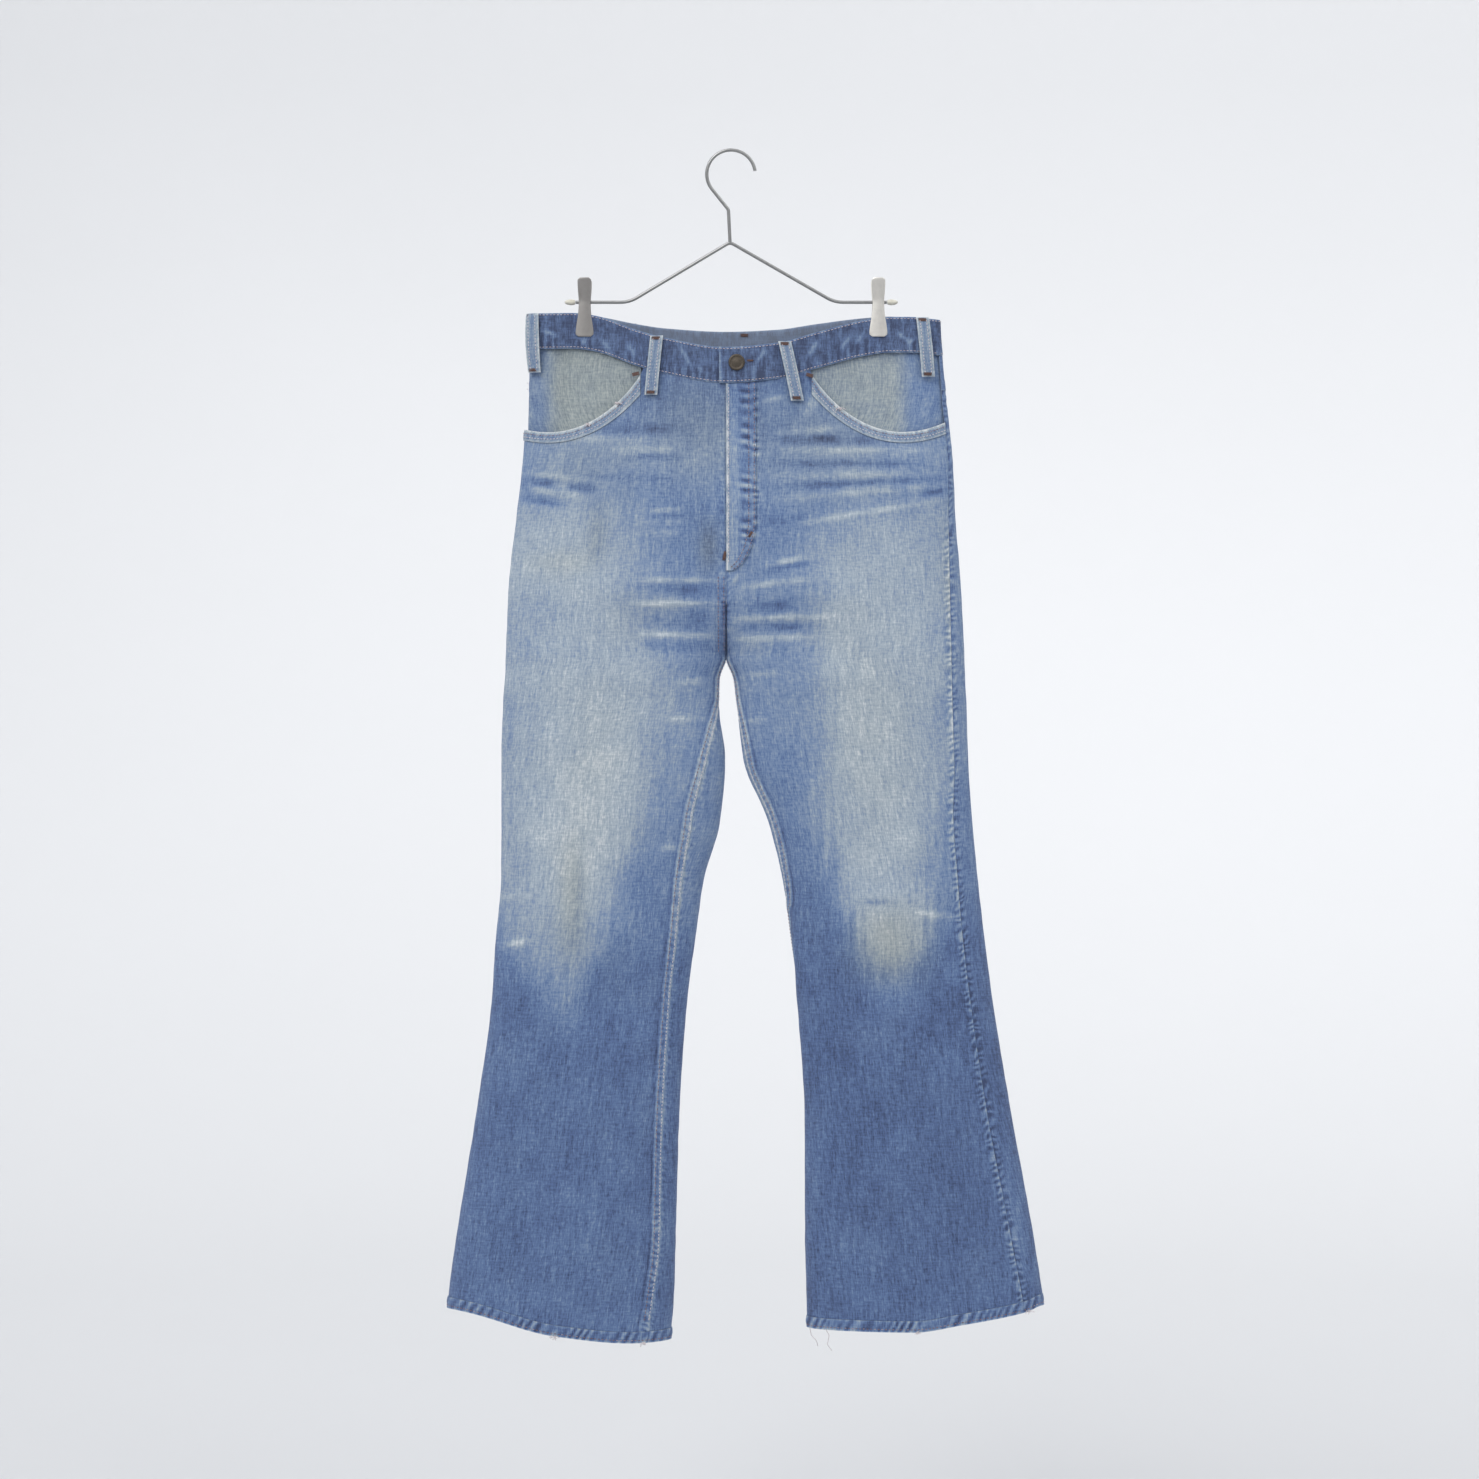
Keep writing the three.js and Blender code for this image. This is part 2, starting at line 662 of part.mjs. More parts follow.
function addArms(group) {
  const at = (x, drop) => new THREE.Vector3(x, 0, -drop);
  const corners = [at(armEnds[0], armDrop), at(armCorners[0], armDrop), at(neckX, neckDrop),
    at(armCorners[1], armDrop), at(armEnds[1], armDrop)];
  const bends = [9, 4, 9];
  const path = new THREE.CurvePath();
  let from = corners[0];
  for (let i = 1; i <= 3; i += 1) {
    const toward = corners[i - 1].clone().sub(corners[i]).setLength(bends[i - 1]).add(corners[i]);
    const away = corners[i + 1].clone().sub(corners[i]).setLength(bends[i - 1]).add(corners[i]);
    path.add(new THREE.LineCurve3(from, toward));
    path.add(new THREE.QuadraticBezierCurve3(toward, corners[i], away));
    from = away;
  }
  path.add(new THREE.LineCurve3(from, corners[4]));
  add(group, 'hanger_arms', wireAlong(path, 56), colours.steel, 0.35, 0.9);
}

function addGripPlate(group, clipX, name, isFront) {
  const columns = 4;
  const rows = 9;
  const first = gripProfile[0].drop;
  const last = gripProfile[gripProfile.length - 1].drop;
  const place = (thicknessAt) => (i, j) => {
    const sideways = (2 * i) / columns - 1;
    const drop = lerp(first, last, j / rows);
    const x = clipX + sideways * read(gripProfile, 'drop', 'half', drop);
    const out = read(gripProfile, 'drop', 'out', drop) + thicknessAt(sideways);
    return new THREE.Vector3(x, isFront ? -out : out, -drop);
  };
  const outer = place((sideways) => plateWall + plateCrown * (1 - sideways * sideways));
  add(group, name, wall(columns, rows, outer, place(() => 0)), colours.steel, 0.4, 0.8);
}

function addSpring(group, clipX, name) {
  const bore = wireRadius + seamGap;
  const halfWidth = springWidth / 2;
  const profile = [[bore, -halfWidth], [springRadius, -halfWidth], [springRadius, halfWidth],
    [bore, halfWidth], [bore, -halfWidth]].map(([radius, height]) => new THREE.Vector2(radius, height));
  const mesh = add(group, name, new THREE.LatheGeometry(profile, 12), colours.steel, 0.4, 0.8);
  mesh.rotation.z = Math.PI / 2;
  mesh.position.set(clipX, 0, -armDrop);
}

function addEndCap(group, endX, side, name) {
  const profile = [[0, 0], [2.2, 0], [3.1, 3], [3, 6], [1.9, 9.6], [0, 11]]
    .map(([radius, height]) => new THREE.Vector2(radius, height));
  const mesh = add(group, name, new THREE.LatheGeometry(profile, 10), colours.cap, 0.4, 0);
  mesh.rotation.z = -side * (Math.PI / 2);
  mesh.position.set(endX + side * seamGap, 0, -armDrop);
}

function addHanger(group) {
  addHook(group);
  addArms(group);
  halves.forEach(({ name, side }, i) => {
    addGripPlate(group, clipCentres[i], `clip_${name}_front`, true);
    addGripPlate(group, clipCentres[i], `clip_${name}_back`, false);
    addSpring(group, clipCentres[i], `clip_${name}_spring`);
    addEndCap(group, armEnds[i], side, `wire_cap_${name}`);
  });
}

const jeans = new THREE.Group();
for (const half of halves) {
  addFront(jeans, half);
  addBack(jeans, half);
  addYoke(jeans, half);
  addFacing(jeans, half);
  addPocketRim(jeans, half);
  addBackPocket(jeans, half);
  addHems(jeans, half);
}
addFlyFlap(jeans);
addWaistband(jeans);
beltLoops.forEach((loop, i) => addBeltLoop(jeans, loop, i + 1));
addButton(jeans);
addHanger(jeans);

export default jeans;
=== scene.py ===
import math

import bpy
import numpy as np
from bpy.props import FloatProperty, FloatVectorProperty, PointerProperty
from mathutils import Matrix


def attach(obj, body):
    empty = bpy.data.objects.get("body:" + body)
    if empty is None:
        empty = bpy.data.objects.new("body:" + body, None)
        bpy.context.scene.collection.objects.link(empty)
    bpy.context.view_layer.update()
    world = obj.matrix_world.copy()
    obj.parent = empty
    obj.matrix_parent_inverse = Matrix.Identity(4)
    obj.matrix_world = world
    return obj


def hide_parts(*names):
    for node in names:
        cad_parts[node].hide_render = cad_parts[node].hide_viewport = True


bl_info = {
    "name": "Flared jeans on a clip hanger",
    "version": (1, 0, 0),
    "blender": (4, 5, 0),
    "location": "3D View > Sidebar > Jeans",
    "description": "Builds worn flared jeans that hang by the waistband from a wire hanger",
    "category": "Object",
}

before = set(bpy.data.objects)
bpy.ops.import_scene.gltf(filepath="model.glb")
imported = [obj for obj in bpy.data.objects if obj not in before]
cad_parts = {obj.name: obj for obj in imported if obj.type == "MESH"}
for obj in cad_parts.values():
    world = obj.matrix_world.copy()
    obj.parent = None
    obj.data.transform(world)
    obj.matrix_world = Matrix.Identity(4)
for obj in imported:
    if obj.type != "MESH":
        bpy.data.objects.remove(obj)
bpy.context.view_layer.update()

# Sizes are in millimetres as in the part's source, with a drop measured down from the hook's
# rest, and become metres where a mesh is made. Left and right are the wearer's.
MM = 0.001
RISE_SEAM_X = -5
FORK_DROP = 463
CROTCH_DROP = 520
SEAM_GAP = 0.3
BAND_HEIGHT = 37
HEM_HEIGHT = 11.5
SCOOP_START = 88
SCOOP_DEEPEST = 181
SCOOP_TOP = 231
SCOOP_FALL = 60
RIM_WIDTH = 11
LAP_START = -12
LAP_END = 9
FLY_WIDTH = 30
FLY_BEND = 381
FLY_END = 434
POCKET_REACH = 95
POCKET_WIDTH = 150
LOOP_LENGTH = 61
BUTTON_X = 5.8
BUTTON_DROP = 220
ARM_DROP = 155.5
NECK_DROP = 93.5


def table(columns, rows):
    """A dictionary with an array for each column."""
    return {name: np.array([row[i] for row in rows]) for i, name in enumerate(columns)}


WAISTLINE = table(("x", "front", "back", "depth"), [
    (-210, 168, 168, 11), (-186, 168, 168, 11), (-163, 167, 168, 4.2), (-139, 170, 170, 4.2),
    (-98, 185, 177, 11), (-67, 194, 181, 15), (-5, 204, 184, 19), (49, 199, 182, 17),
    (88, 188, 177, 12), (140, 174, 171.5, 4.2), (164, 171, 170, 4.2), (190, 172, 171, 11),
    (216, 174, 174, 11),
])
SECTION = ("drop", "outer", "inner", "inseam", "outseam", "front", "back")
RIGHT_SECTIONS = table(SECTION, [
    (168, -210, -5.15, 0, -2, 18, 18), (257, -211, -5.15, 0, -2, 20, 23),
    (319, -215, -5.15, 0, -4, 26, 31), (381, -222, -5.15, 0, -6, 30, 37),
    (443, -229, -5.15, 0, -8, 31, 38), (520, -232.5, -5.15, 0, -10, 30, 36),
    (545, -233.5, -12.5, 0, -11, 30, 35), (566, -235, -13, 0, -12, 29, 34),
    (628, -237, -6, 19, -13, 28, 32), (690, -237, -11, 29, -14, 27, 30),
    (752, -237.5, -28, 22, -16, 26, 29), (814, -243, -37, 19, -18, 25, 27),
    (875, -247, -45, 17.5, -20, 25, 27), (999, -264, -53.5, 16.5, -22, 27, 29),
    (1123, -284, -57, 16, -22, 29, 31), (1184, -292, -59, 21, -21, 30, 32),
    (1230, -295, -62, 24, -20, 31, 33),
])
LEFT_SECTIONS = table(SECTION, [
    (168, 216, -4.85, 0, 3, 18, 18), (257, 222.5, -4.85, 0, 4.5, 20, 23),
    (319, 229, -4.85, 0, 5.5, 26, 31), (381, 232, -4.85, 0, 8, 30, 37),
    (443, 237, -4.85, 0, 12, 31, 38), (520, 241, -4.85, 0, 14.5, 30, 36),
    (545, 242, 3.5, 0, 15, 30, 35), (566, 243, 6, 0, 15.5, 29, 34),
    (628, 245, 13, 3, 15.5, 28, 32), (690, 249, 38, 3, 20.5, 27, 30),
    (752, 255, 53.5, 1.5, 22, 26, 29), (814, 262, 63, -3, 23.5, 25, 27),
    (875, 270, 68, -10, 24, 25, 27), (999, 290.5, 76, -15, 26, 27, 29),
    (1123, 313, 76.5, -16, 24.5, 29, 31), (1184, 322, 78, -18, 22.5, 30, 32),
    (1230, 326, 79, -20, 22, 31, 33),
])
HEMLINE = table(("x", "drop"), [
    (-292, 1193), (-180, 1218), (-95, 1226), (-62, 1225), (80, 1213), (188, 1214),
    (235, 1207), (303, 1195), (320, 1190),
])

# Marks lie on the front or the back. Each has its middle, its slope from level, its length and
# width, and a size: how far a fold stands out, or how much paler a worn mark is.
MARK = ("face", "x", "drop", "slope", "length", "width", "size")
FOLDS = table(MARK, [
    ("front", -95, 452, 8, 170, 24, 3), ("front", -80, 500, 14, 150, 22, -3),
    ("front", 90, 458, -8, 170, 24, 3), ("front", 85, 505, -14, 150, 22, -3),
    ("front", -150, 800, -12, 190, 30, 3.5), ("front", -120, 880, 10, 160, 30, -3),
    ("front", 160, 790, 12, 180, 30, 3.5), ("front", 175, 865, -10, 160, 30, -3),
    ("front", -150, 1060, 86, 380, 34, 3), ("front", -215, 1090, 80, 320, 26, -3),
    ("front", 165, 1060, 92, 380, 34, 3), ("front", 250, 1090, 100, 320, 26, -3),
    ("back", -90, 490, -20, 190, 26, -4), ("back", -110, 545, -26, 180, 26, 4),
    ("back", 85, 490, 20, 190, 26, -4), ("back", 110, 545, 26, 180, 26, 4),
    ("back", -125, 815, 6, 190, 30, -4), ("back", 165, 825, -6, 190, 30, -4),
    ("back", -170, 1050, 84, 380, 34, 4), ("back", 200, 1050, 96, 380, 34, 4),
])
# Finer creases, beside those that the worn marks make
CREASES = table(MARK, [
    ("front", -165, 1120, 84, 260, 8, 0.7), ("front", -132, 1030, 90, 200, 7, -0.6),
    ("front", 90, 1060, 88, 240, 8, 0.7), ("front", 128, 1130, 94, 200, 7, -0.6),
    ("front", -205, 970, 78, 180, 9, 0.7), ("front", 215, 1000, 100, 200, 9, 0.7),
    ("back", -110, 840, 2, 120, 7, -0.7), ("back", 165, 850, -10, 110, 7, -0.7),
    ("back", -170, 1080, 86, 260, 9, 0.8), ("back", 190, 1060, 95, 260, 9, 0.8),
    ("back", -120, 1130, 88, 180, 8, -0.6), ("back", 240, 1110, 99, 180, 8, -0.6),
])


def mix(a, b, share):
    return a + (b - a) * share


def step_up(value, start, end):
    share = np.clip((value - start) / (end - start), 0, 1)
    return share * share * (3 - 2 * share)


def read(rows, key, column, at):
    """A smooth reading of one column between the rows, which never swings past them."""
    keys, values = rows[key], rows[column]
    at = np.clip(at, keys[0], keys[-1])
    i = np.clip(np.searchsorted(keys, at, side="right") - 1, 0, len(keys) - 2)
    steps = np.diff(values) / np.diff(keys)
    before, after = steps[:-1], steps[1:]
    same_way = before * after > 0
    slopes = np.zeros(len(keys))
    slopes[1:-1][same_way] = (2 * before * after)[same_way] / (before + after)[same_way]
    span = keys[i + 1] - keys[i]
    s = (at - keys[i]) / span
    eased = s * s * (3 - 2 * s)
    leaving = slopes[i] * span * s * (1 - s) ** 2
    arriving = slopes[i + 1] * span * s * s * (s - 1)
    return mix(values[i], values[i + 1], eased) + leaving + arriving


def band_top(x, is_front):
    return np.where(is_front, read(WAISTLINE, "x", "front", x), read(WAISTLINE, "x", "back", x))


def waist_seam(x, is_front):
    return band_top(x, is_front) + BAND_HEIGHT


def marks(rows, x, drop, is_front):
    """The sum of the sizes of a table's marks at each point."""
    total = np.zeros(np.broadcast(x, drop, is_front).shape)
    for i, face in enumerate(rows["face"]):
        slope = math.radians(rows["slope"][i])
        dx, dz = x - rows["x"][i], rows["drop"][i] - drop
        along = (dx * math.cos(slope) + dz * math.sin(slope)) / (rows["length"][i] / 2)
        across = (dz * math.cos(slope) - dx * math.sin(slope)) / rows["width"][i]
        bell = np.clip(1 - along * along, 0, 1) ** 2 * np.exp(-across * across)
        total += rows["size"][i] * bell * (np.equal(is_front, face == "front"))
    return total


def hip_depth(x, drop, is_front, fullness):
    """Depth of the hips: pinched as the waistband is at the top, full and oval lower down."""
    right_edge = read(RIGHT_SECTIONS, "drop", "outer", drop)
    left_edge = read(LEFT_SECTIONS, "drop", "outer", drop)
    share = np.minimum(abs((2 * x - right_edge - left_edge) / (left_edge - right_edge)), 1)
    pinched = read(WAISTLINE, "x", "depth", x) * np.sqrt(1 - share ** 16)
    full = fullness * np.sqrt(1 - share ** 4)
    seam = waist_seam(x, is_front)
    return mix(pinched, full, step_up(drop, seam, seam + 130))


class Half:
    """The right or the left half of the jeans."""

    def __init__(self, name, side, sections):
        self.name, self.side, self.sections = name, side, sections

    def read(self, column, drop):
        return read(self.sections, "drop", column, drop)

    def point(self, turn, drop):
        """A point of the cloth's outside. turn runs from the inner edge (0) over the front to
        the outer edge (0.5), and over the back to the inner edge again (1)."""
        turn = np.where(turn < 0, turn + 1, np.where(turn > 1, turn - 1, turn))
        is_front = turn < 0.5
        share = (1 - np.cos(2 * np.pi * turn)) / 2
        x = mix(self.read("inner", drop), self.read("outer", drop), share)
        fullness = np.where(is_front, self.read("front", drop), self.read("back", drop))
        edge = np.sqrt(np.clip(1 - abs(2 * share - 1) ** 3, 0, 1))
        fork = np.clip((drop - FORK_DROP) / (CROTCH_DROP - FORK_DROP), 0, 1) ** 1.3
        hip = hip_depth(x, drop, is_front, fullness)
        depth = mix(hip, fullness * edge, fork) + marks(FOLDS, x, drop, is_front) * edge
        return np.stack([x, np.where(is_front, -depth, depth), -drop + 0 * x], axis=-1)

    def normal(self, turn, drop):
        is_open = drop < CROTCH_DROP
        before = np.where(is_open, np.maximum(turn - 0.004, 0), turn - 0.004)
        after = np.where(is_open, np.minimum(turn + 0.004, 1), turn + 0.004)
        around = self.point(after, drop) - self.point(before, drop)
        down = self.point(turn, drop + 1) - self.point(turn, drop - 1)
        normal = np.cross(down, around) * self.side
        return normal / np.linalg.norm(normal, axis=-1, keepdims=True)

    def surface(self, turn, drop, distance=0.0):
        """A point that distance away from the creased cloth."""
        turn, drop = np.broadcast_arrays(np.asarray(turn, float), np.asarray(drop, float))
        point = self.point(turn, drop)
        crease = marks(CREASES, point[..., 0], drop, turn < 0.5)
        crease = crease + 2.4 * marks(WEAR_AND_VALLEY_SHADE, point[..., 0], drop, turn < 0.5)
        return point + self.normal(turn, drop) * (distance + crease)[..., None]

    def further(self, turn, drop, distance):
        """The turn that lies that distance further round the cloth."""
        probe = np.where(np.asarray(distance) < 0, -0.0005, 0.0005)
        for _ in range(8):
            step = self.point(turn + probe, drop) - self.point(turn, drop)
            reach = np.maximum(np.linalg.norm(step, axis=-1), 1e-6)
            turn = turn + probe * np.abs(distance) / 8 / reach
        return turn

    def turn_at(self, x, drop, is_front):
        outer, inner = self.read("outer", drop), self.read("inner", drop)
        share = np.clip((x - inner) / (outer - inner), 0, 1)
        turn = np.arccos(1 - 2 * share) / (2 * np.pi)
        return np.where(is_front, turn, 1 - turn)

    def seam_turn(self, seam, drop):
        inset = self.read(seam, drop)
        share = np.abs(inset) / np.abs(self.read("outer", drop) - self.read("inner", drop))
        swing = np.sign(inset) * np.arccos(1 - 2 * share) / (2 * np.pi)
        return swing if seam == "inseam" else 0.5 - swing

    def edges(self, is_front, drop):
        """The turns between which the front or the back of the half lies."""
        drop = np.asarray(drop, float)
        gap = SEAM_GAP / 2
        outseam, inseam = self.seam_turn("outseam", drop), self.seam_turn("inseam", drop)
        if is_front:
            start = np.where(drop < CROTCH_DROP, 0, self.further(inseam, drop, gap))
            return start, self.further(outseam, drop, -gap)
        end = np.where(drop < CROTCH_DROP, 1, self.further(1 + inseam, drop, -gap))
        return self.further(outseam, drop, gap), end

    def settle(self, is_front, u, line_at):
        """Where a line that is given by x crosses the columns at the shares u."""
        drop = np.full_like(u, line_at(self, np.full_like(u, self.side * 100.0)).mean())
        for _ in range(5):
            start, end = self.edges(is_front, drop)
            drop = line_at(self, self.point(mix(start, end, u), drop)[..., 0])
        return drop


RIGHT = Half("right", -1, RIGHT_SECTIONS)
LEFT = Half("left", 1, LEFT_SECTIONS)
HALVES = (RIGHT, LEFT)


def scoop_drop(half, x):
    reach = np.abs(x - RISE_SEAM_X)
    inward = np.clip((SCOOP_DEEPEST - reach) / (SCOOP_DEEPEST - SCOOP_START), 0, 1)
    outward = np.maximum(reach - SCOOP_DEEPEST, 0) / 30
    scoop = SCOOP_TOP + SCOOP_FALL * (1 - inward ** 2) ** 0.9 - 5 * outward ** 2
    return np.where(reach < SCOOP_START - 1, waist_seam(x, True), scoop)


def rim_drop(half, x):
    outwards = np.maximum(np.abs(x - RISE_SEAM_X), SCOOP_START)
    at = RISE_SEAM_X + half.side * outwards
    steepness = (scoop_drop(half, at + half.side * 2) - scoop_drop(half, at)) / 2
    return scoop_drop(half, x) + RIM_WIDTH * np.hypot(1, np.minimum(steepness, 1.6))


def yoke_drop(half, x):
    return mix(291, 247, np.minimum(np.abs(x - RISE_SEAM_X) / 210, 1))


def hem_drop(half, x):
    return read(HEMLINE, "x", "drop", x)


def waves(seed, size, *place):
    """Smooth uneven noise from about -1 to 1, with bumps of that size."""
    chance = np.random.default_rng(seed)
    total = 0
    for _ in range(14):
        angle = chance.uniform(0, 2 * np.pi)
        pace = 2 * np.pi / size * chance.uniform(0.5, 1.3)
        heading = (math.cos(angle), math.sin(angle)) if len(place) > 1 else (1,)
        phase = chance.uniform(0, 2 * np.pi)
        total = total + np.sin(sum(p * h for p, h in zip(place, heading)) * pace + phase)
    return total / 3.2


def bell(value, width):
    return np.exp(-(value / width) ** 2)


# The wash of each leg. For each level: how pale the cloth is all round, then the worn stretch
# down the front, by its middle, its reach towards the inseam and the outseam, and its strength.
WASH = ("drop", "all", "middle", "inward", "outward", "worn")
RIGHT_WASH = table(WASH, [
    (205, 0.18, -120, 50, 60, 0), (280, 0.32, -130, 50, 90, 0.04), (310, 0.44, -140, 50, 90, 0.1),
    (352, 0.4, -150, 54, 100, 0.16), (380, 0.36, -150, 58, 120, 0.46),
    (425, 0.38, -150, 62, 140, 0.5), (490, 0.4, -135, 70, 140, 0.46),
    (566, 0.4, -130, 74, 120, 0.52), (640, 0.42, -134, 62, 110, 0.58),
    (710, 0.4, -150, 52, 90, 0.66), (760, 0.33, -158, 44, 84, 0.58),
    (810, 0.24, -162, 38, 76, 0.5), (850, 0.15, -164, 20, 44, 0.42),
    (885, 0.1, -164, 12, 26, 0.2), (930, 0.09, -160, 20, 30, 0), (1050, 0.1, -160, 30, 30, 0),
    (1180, 0.11, -160, 30, 30, 0), (1230, 0.13, -160, 30, 30, 0),
])
LEFT_WASH = table(WASH, [
    (205, 0.18, 110, 45, 60, 0), (280, 0.32, 110, 45, 90, 0.03), (310, 0.44, 130, 50, 90, 0.08),
    (352, 0.4, 150, 50, 90, 0.1), (390, 0.38, 150, 62, 100, 0.34), (425, 0.42, 150, 66, 95, 0.44),
    (490, 0.48, 146, 62, 86, 0.44), (566, 0.44, 146, 60, 80, 0.5), (640, 0.38, 147, 58, 76, 0.56),
    (700, 0.3, 149, 56, 70, 0.64), (760, 0.2, 155, 50, 60, 0.7), (815, 0.09, 162, 36, 44, 0.84),
    (850, 0.04, 163, 28, 32, 0.44), (885, 0.01, 165, 22, 26, 0.1), (930, 0, 165, 30, 30, 0),
    (1050, 0.01, 165, 30, 30, 0), (1180, 0.04, 165, 30, 30, 0), (1230, 0.08, 165, 30, 30, 0),
])
# Whiskers and other worn marks: a pale one is the worn top of a crease, a dark one its valley,
# partly less worn blue and partly painted shade.
WEAR_AND_VALLEY_SHADE = table(MARK, [
    ("front", -134, 298, 0, 190, 4, 0.14), ("front", -95, 289, 0, 100, 6, -0.2),
    ("front", -84, 309, 0, 95, 4, 0.14), ("front", -84, 317, 0, 95, 3, -0.14),
    ("front", -113, 338, -3, 150, 2.6, -0.13), ("front", -172, 346, -8, 104, 4.4, -0.26),
    ("front", -180, 337, -8, 84, 3, 0.14), ("front", -194, 362, -11, 66, 4, -0.22),
    ("front", -175, 354, -9, 84, 3.4, 0.15), ("front", -137, 414, 0, 12, 3, -0.2),
    ("front", -66, 372, 0, 60, 2.4, 0.13), ("front", -64, 384, 2, 56, 2.4, 0.1),
    ("front", -68, 395, -2, 50, 2.4, 0.12), ("front", -66, 378, 0, 60, 2.4, -0.08),
    ("front", -53, 444, 0, 112, 2.8, 0.24), ("front", -53, 453, 0, 110, 6, -0.13),
    ("front", -56, 467.6, 0, 118, 2.8, 0.32), ("front", -58, 484, 0, 112, 9, -0.12),
    ("front", -56, 500, -2, 118, 2.8, 0.26), ("front", -56, 511, -2, 105, 6, -0.12),
    ("front", -84, 513, 90, 34, 3, -0.14), ("front", -50, 586, 0, 70, 3.4, 0.16),
    ("front", -44, 548, 3, 50, 3, 0.12), ("front", -63, 718, 4, 28, 3, 0.2),
    ("front", -221, 768, 3, 46, 3.4, 0.2), ("front", -220, 816, 14, 50, 4, 0.22),
    ("front", -156, 764, 88, 150, 5, -0.1), ("front", 45, 257, 14, 36, 3, 0.2),
    ("front", 82, 264, 70, 34, 6, 0.18), ("front", 85, 289, 5, 104, 3, 0.16),
    ("front", 100, 299, 0, 164, 5, -0.24), ("front", 133, 310, 0, 210, 3, 0.15),
    ("front", 115, 324, 0, 215, 3.4, -0.19), ("front", 115, 336, 1, 200, 4, 0.13),
    ("front", 128, 344, 3, 235, 3.2, -0.19), ("front", 128, 354, 5, 235, 3.6, 0.14),
    ("front", 57, 384, 2, 66, 6, -0.14), ("front", 207, 353, 10, 44, 3, -0.2),
    ("front", 128, 376, 9.5, 240, 3, 0.18), ("front", 58, 424, 11, 74, 3, 0.22),
    ("front", 60, 430, 9, 72, 3, -0.16), ("front", 46, 447, 7, 104, 3, 0.22),
    ("front", 45, 470, 2, 108, 6, -0.14), ("front", 52, 482, 1.5, 138, 2.8, 0.27),
    ("front", 50, 492, 1, 112, 3.4, -0.14), ("front", 44, 503, 1, 118, 2.8, 0.24),
    ("front", 4.5, 443, 60, 15, 2, 0.45), ("front", 25, 588, 3, 40, 3, 0.16),
    ("front", 30, 540, 4, 54, 3, 0.12), ("front", 210, 787, -8, 66, 3, 0.2),
    # The last mark here, down the rise seam below the fly, is painted shadow in the seam's groove.
    ("front", 156, 774, 0, 70, 3, -0.16), ("front", -6, 486, 90, 104, 5, -0.2),
    ("back", -70, 500, -16, 140, 5, 0.13), ("back", -80, 513, -18, 130, 8, -0.08),
    ("back", -92, 534, -20, 120, 5, 0.1), ("back", 62, 496, 18, 140, 5, 0.12),
    ("back", 72, 510, 20, 130, 8, -0.07), ("back", 90, 532, 22, 120, 5, 0.1),
    ("back", -120, 780, 8, 170, 6, 0.12), ("back", -122, 794, 7, 150, 9, -0.08),
    ("back", -112, 812, 3, 130, 6, 0.09), ("back", 150, 788, -5, 160, 6, 0.12),
    ("back", 154, 803, -7, 150, 9, -0.07), ("back", 164, 822, -9, 110, 6, 0.08),
])
# Broader paler or darker patches. The dark ones at x -137 and x -23 are painted shade, and the
# long upright ones at x -107, -80, -178, 108 and 178 are painted light and shade of soft folds.
PATCHES_AND_FOLD_SHADE = table(MARK, [
    ("front", -137, 394, 90, 110, 12, -0.2), ("front", -107, 410, 92, 240, 8, -0.1),
    ("front", -23, 410, 90, 100, 10, -0.18), ("front", -172, 425, 0, 120, 11, 0.08),
    ("front", -80, 640, 80, 260, 10, -0.08), ("front", -178, 600, 88, 280, 9, 0.07),
    ("front", 108, 480, 92, 260, 10, 0.09), ("front", 178, 560, 94, 300, 9, -0.06),
    ("front", -147, 1120, 88, 130, 16, 0.1), ("front", -200, 900, 80, 120, 10, 0.1),
    ("front", 86, 1070, 88, 150, 8, 0.1), ("front", 145, 1140, 92, 110, 18, 0.1),
    ("front", 215, 980, 98, 160, 12, 0.08), ("front", 292, 1100, 96, 220, 8, 0.2),
    ("back", 292, 1100, 96, 220, 10, 0.22), ("back", -110, 380, 4, 190, 60, 0.26),
    ("back", 105, 380, -4, 190, 60, 0.26), ("back", -120, 560, 80, 280, 50, 0.3),
    ("back", 120, 560, 100, 280, 50, 0.3),
])
# Where the worn cloth has turned a grey beige; the marks at x -137 and x -23 tint painted shade.
GREYED = table(MARK, [
    ("front", -163, 770, 90, 190, 16, 0.7), ("front", 163, 815, 90, 120, 34, 0.8),
    ("front", -140, 640, 84, 300, 40, 0.25), ("front", 145, 600, 90, 380, 45, 0.3),
    ("front", -150, 300, 0, 130, 26, 0.2), ("front", -172, 425, 0, 120, 14, 0.4),
    ("front", -137, 394, 90, 90, 12, 0.4), ("front", -23, 410, 90, 90, 12, 0.5),
    ("front", 230, 470, 95, 260, 10, 0.5), ("front", -40, 285, 0, 190, 60, 0.4),
    ("front", 95, 300, 0, 240, 50, 0.35), ("front", -150, 330, 0, 150, 30, 0.25),
])


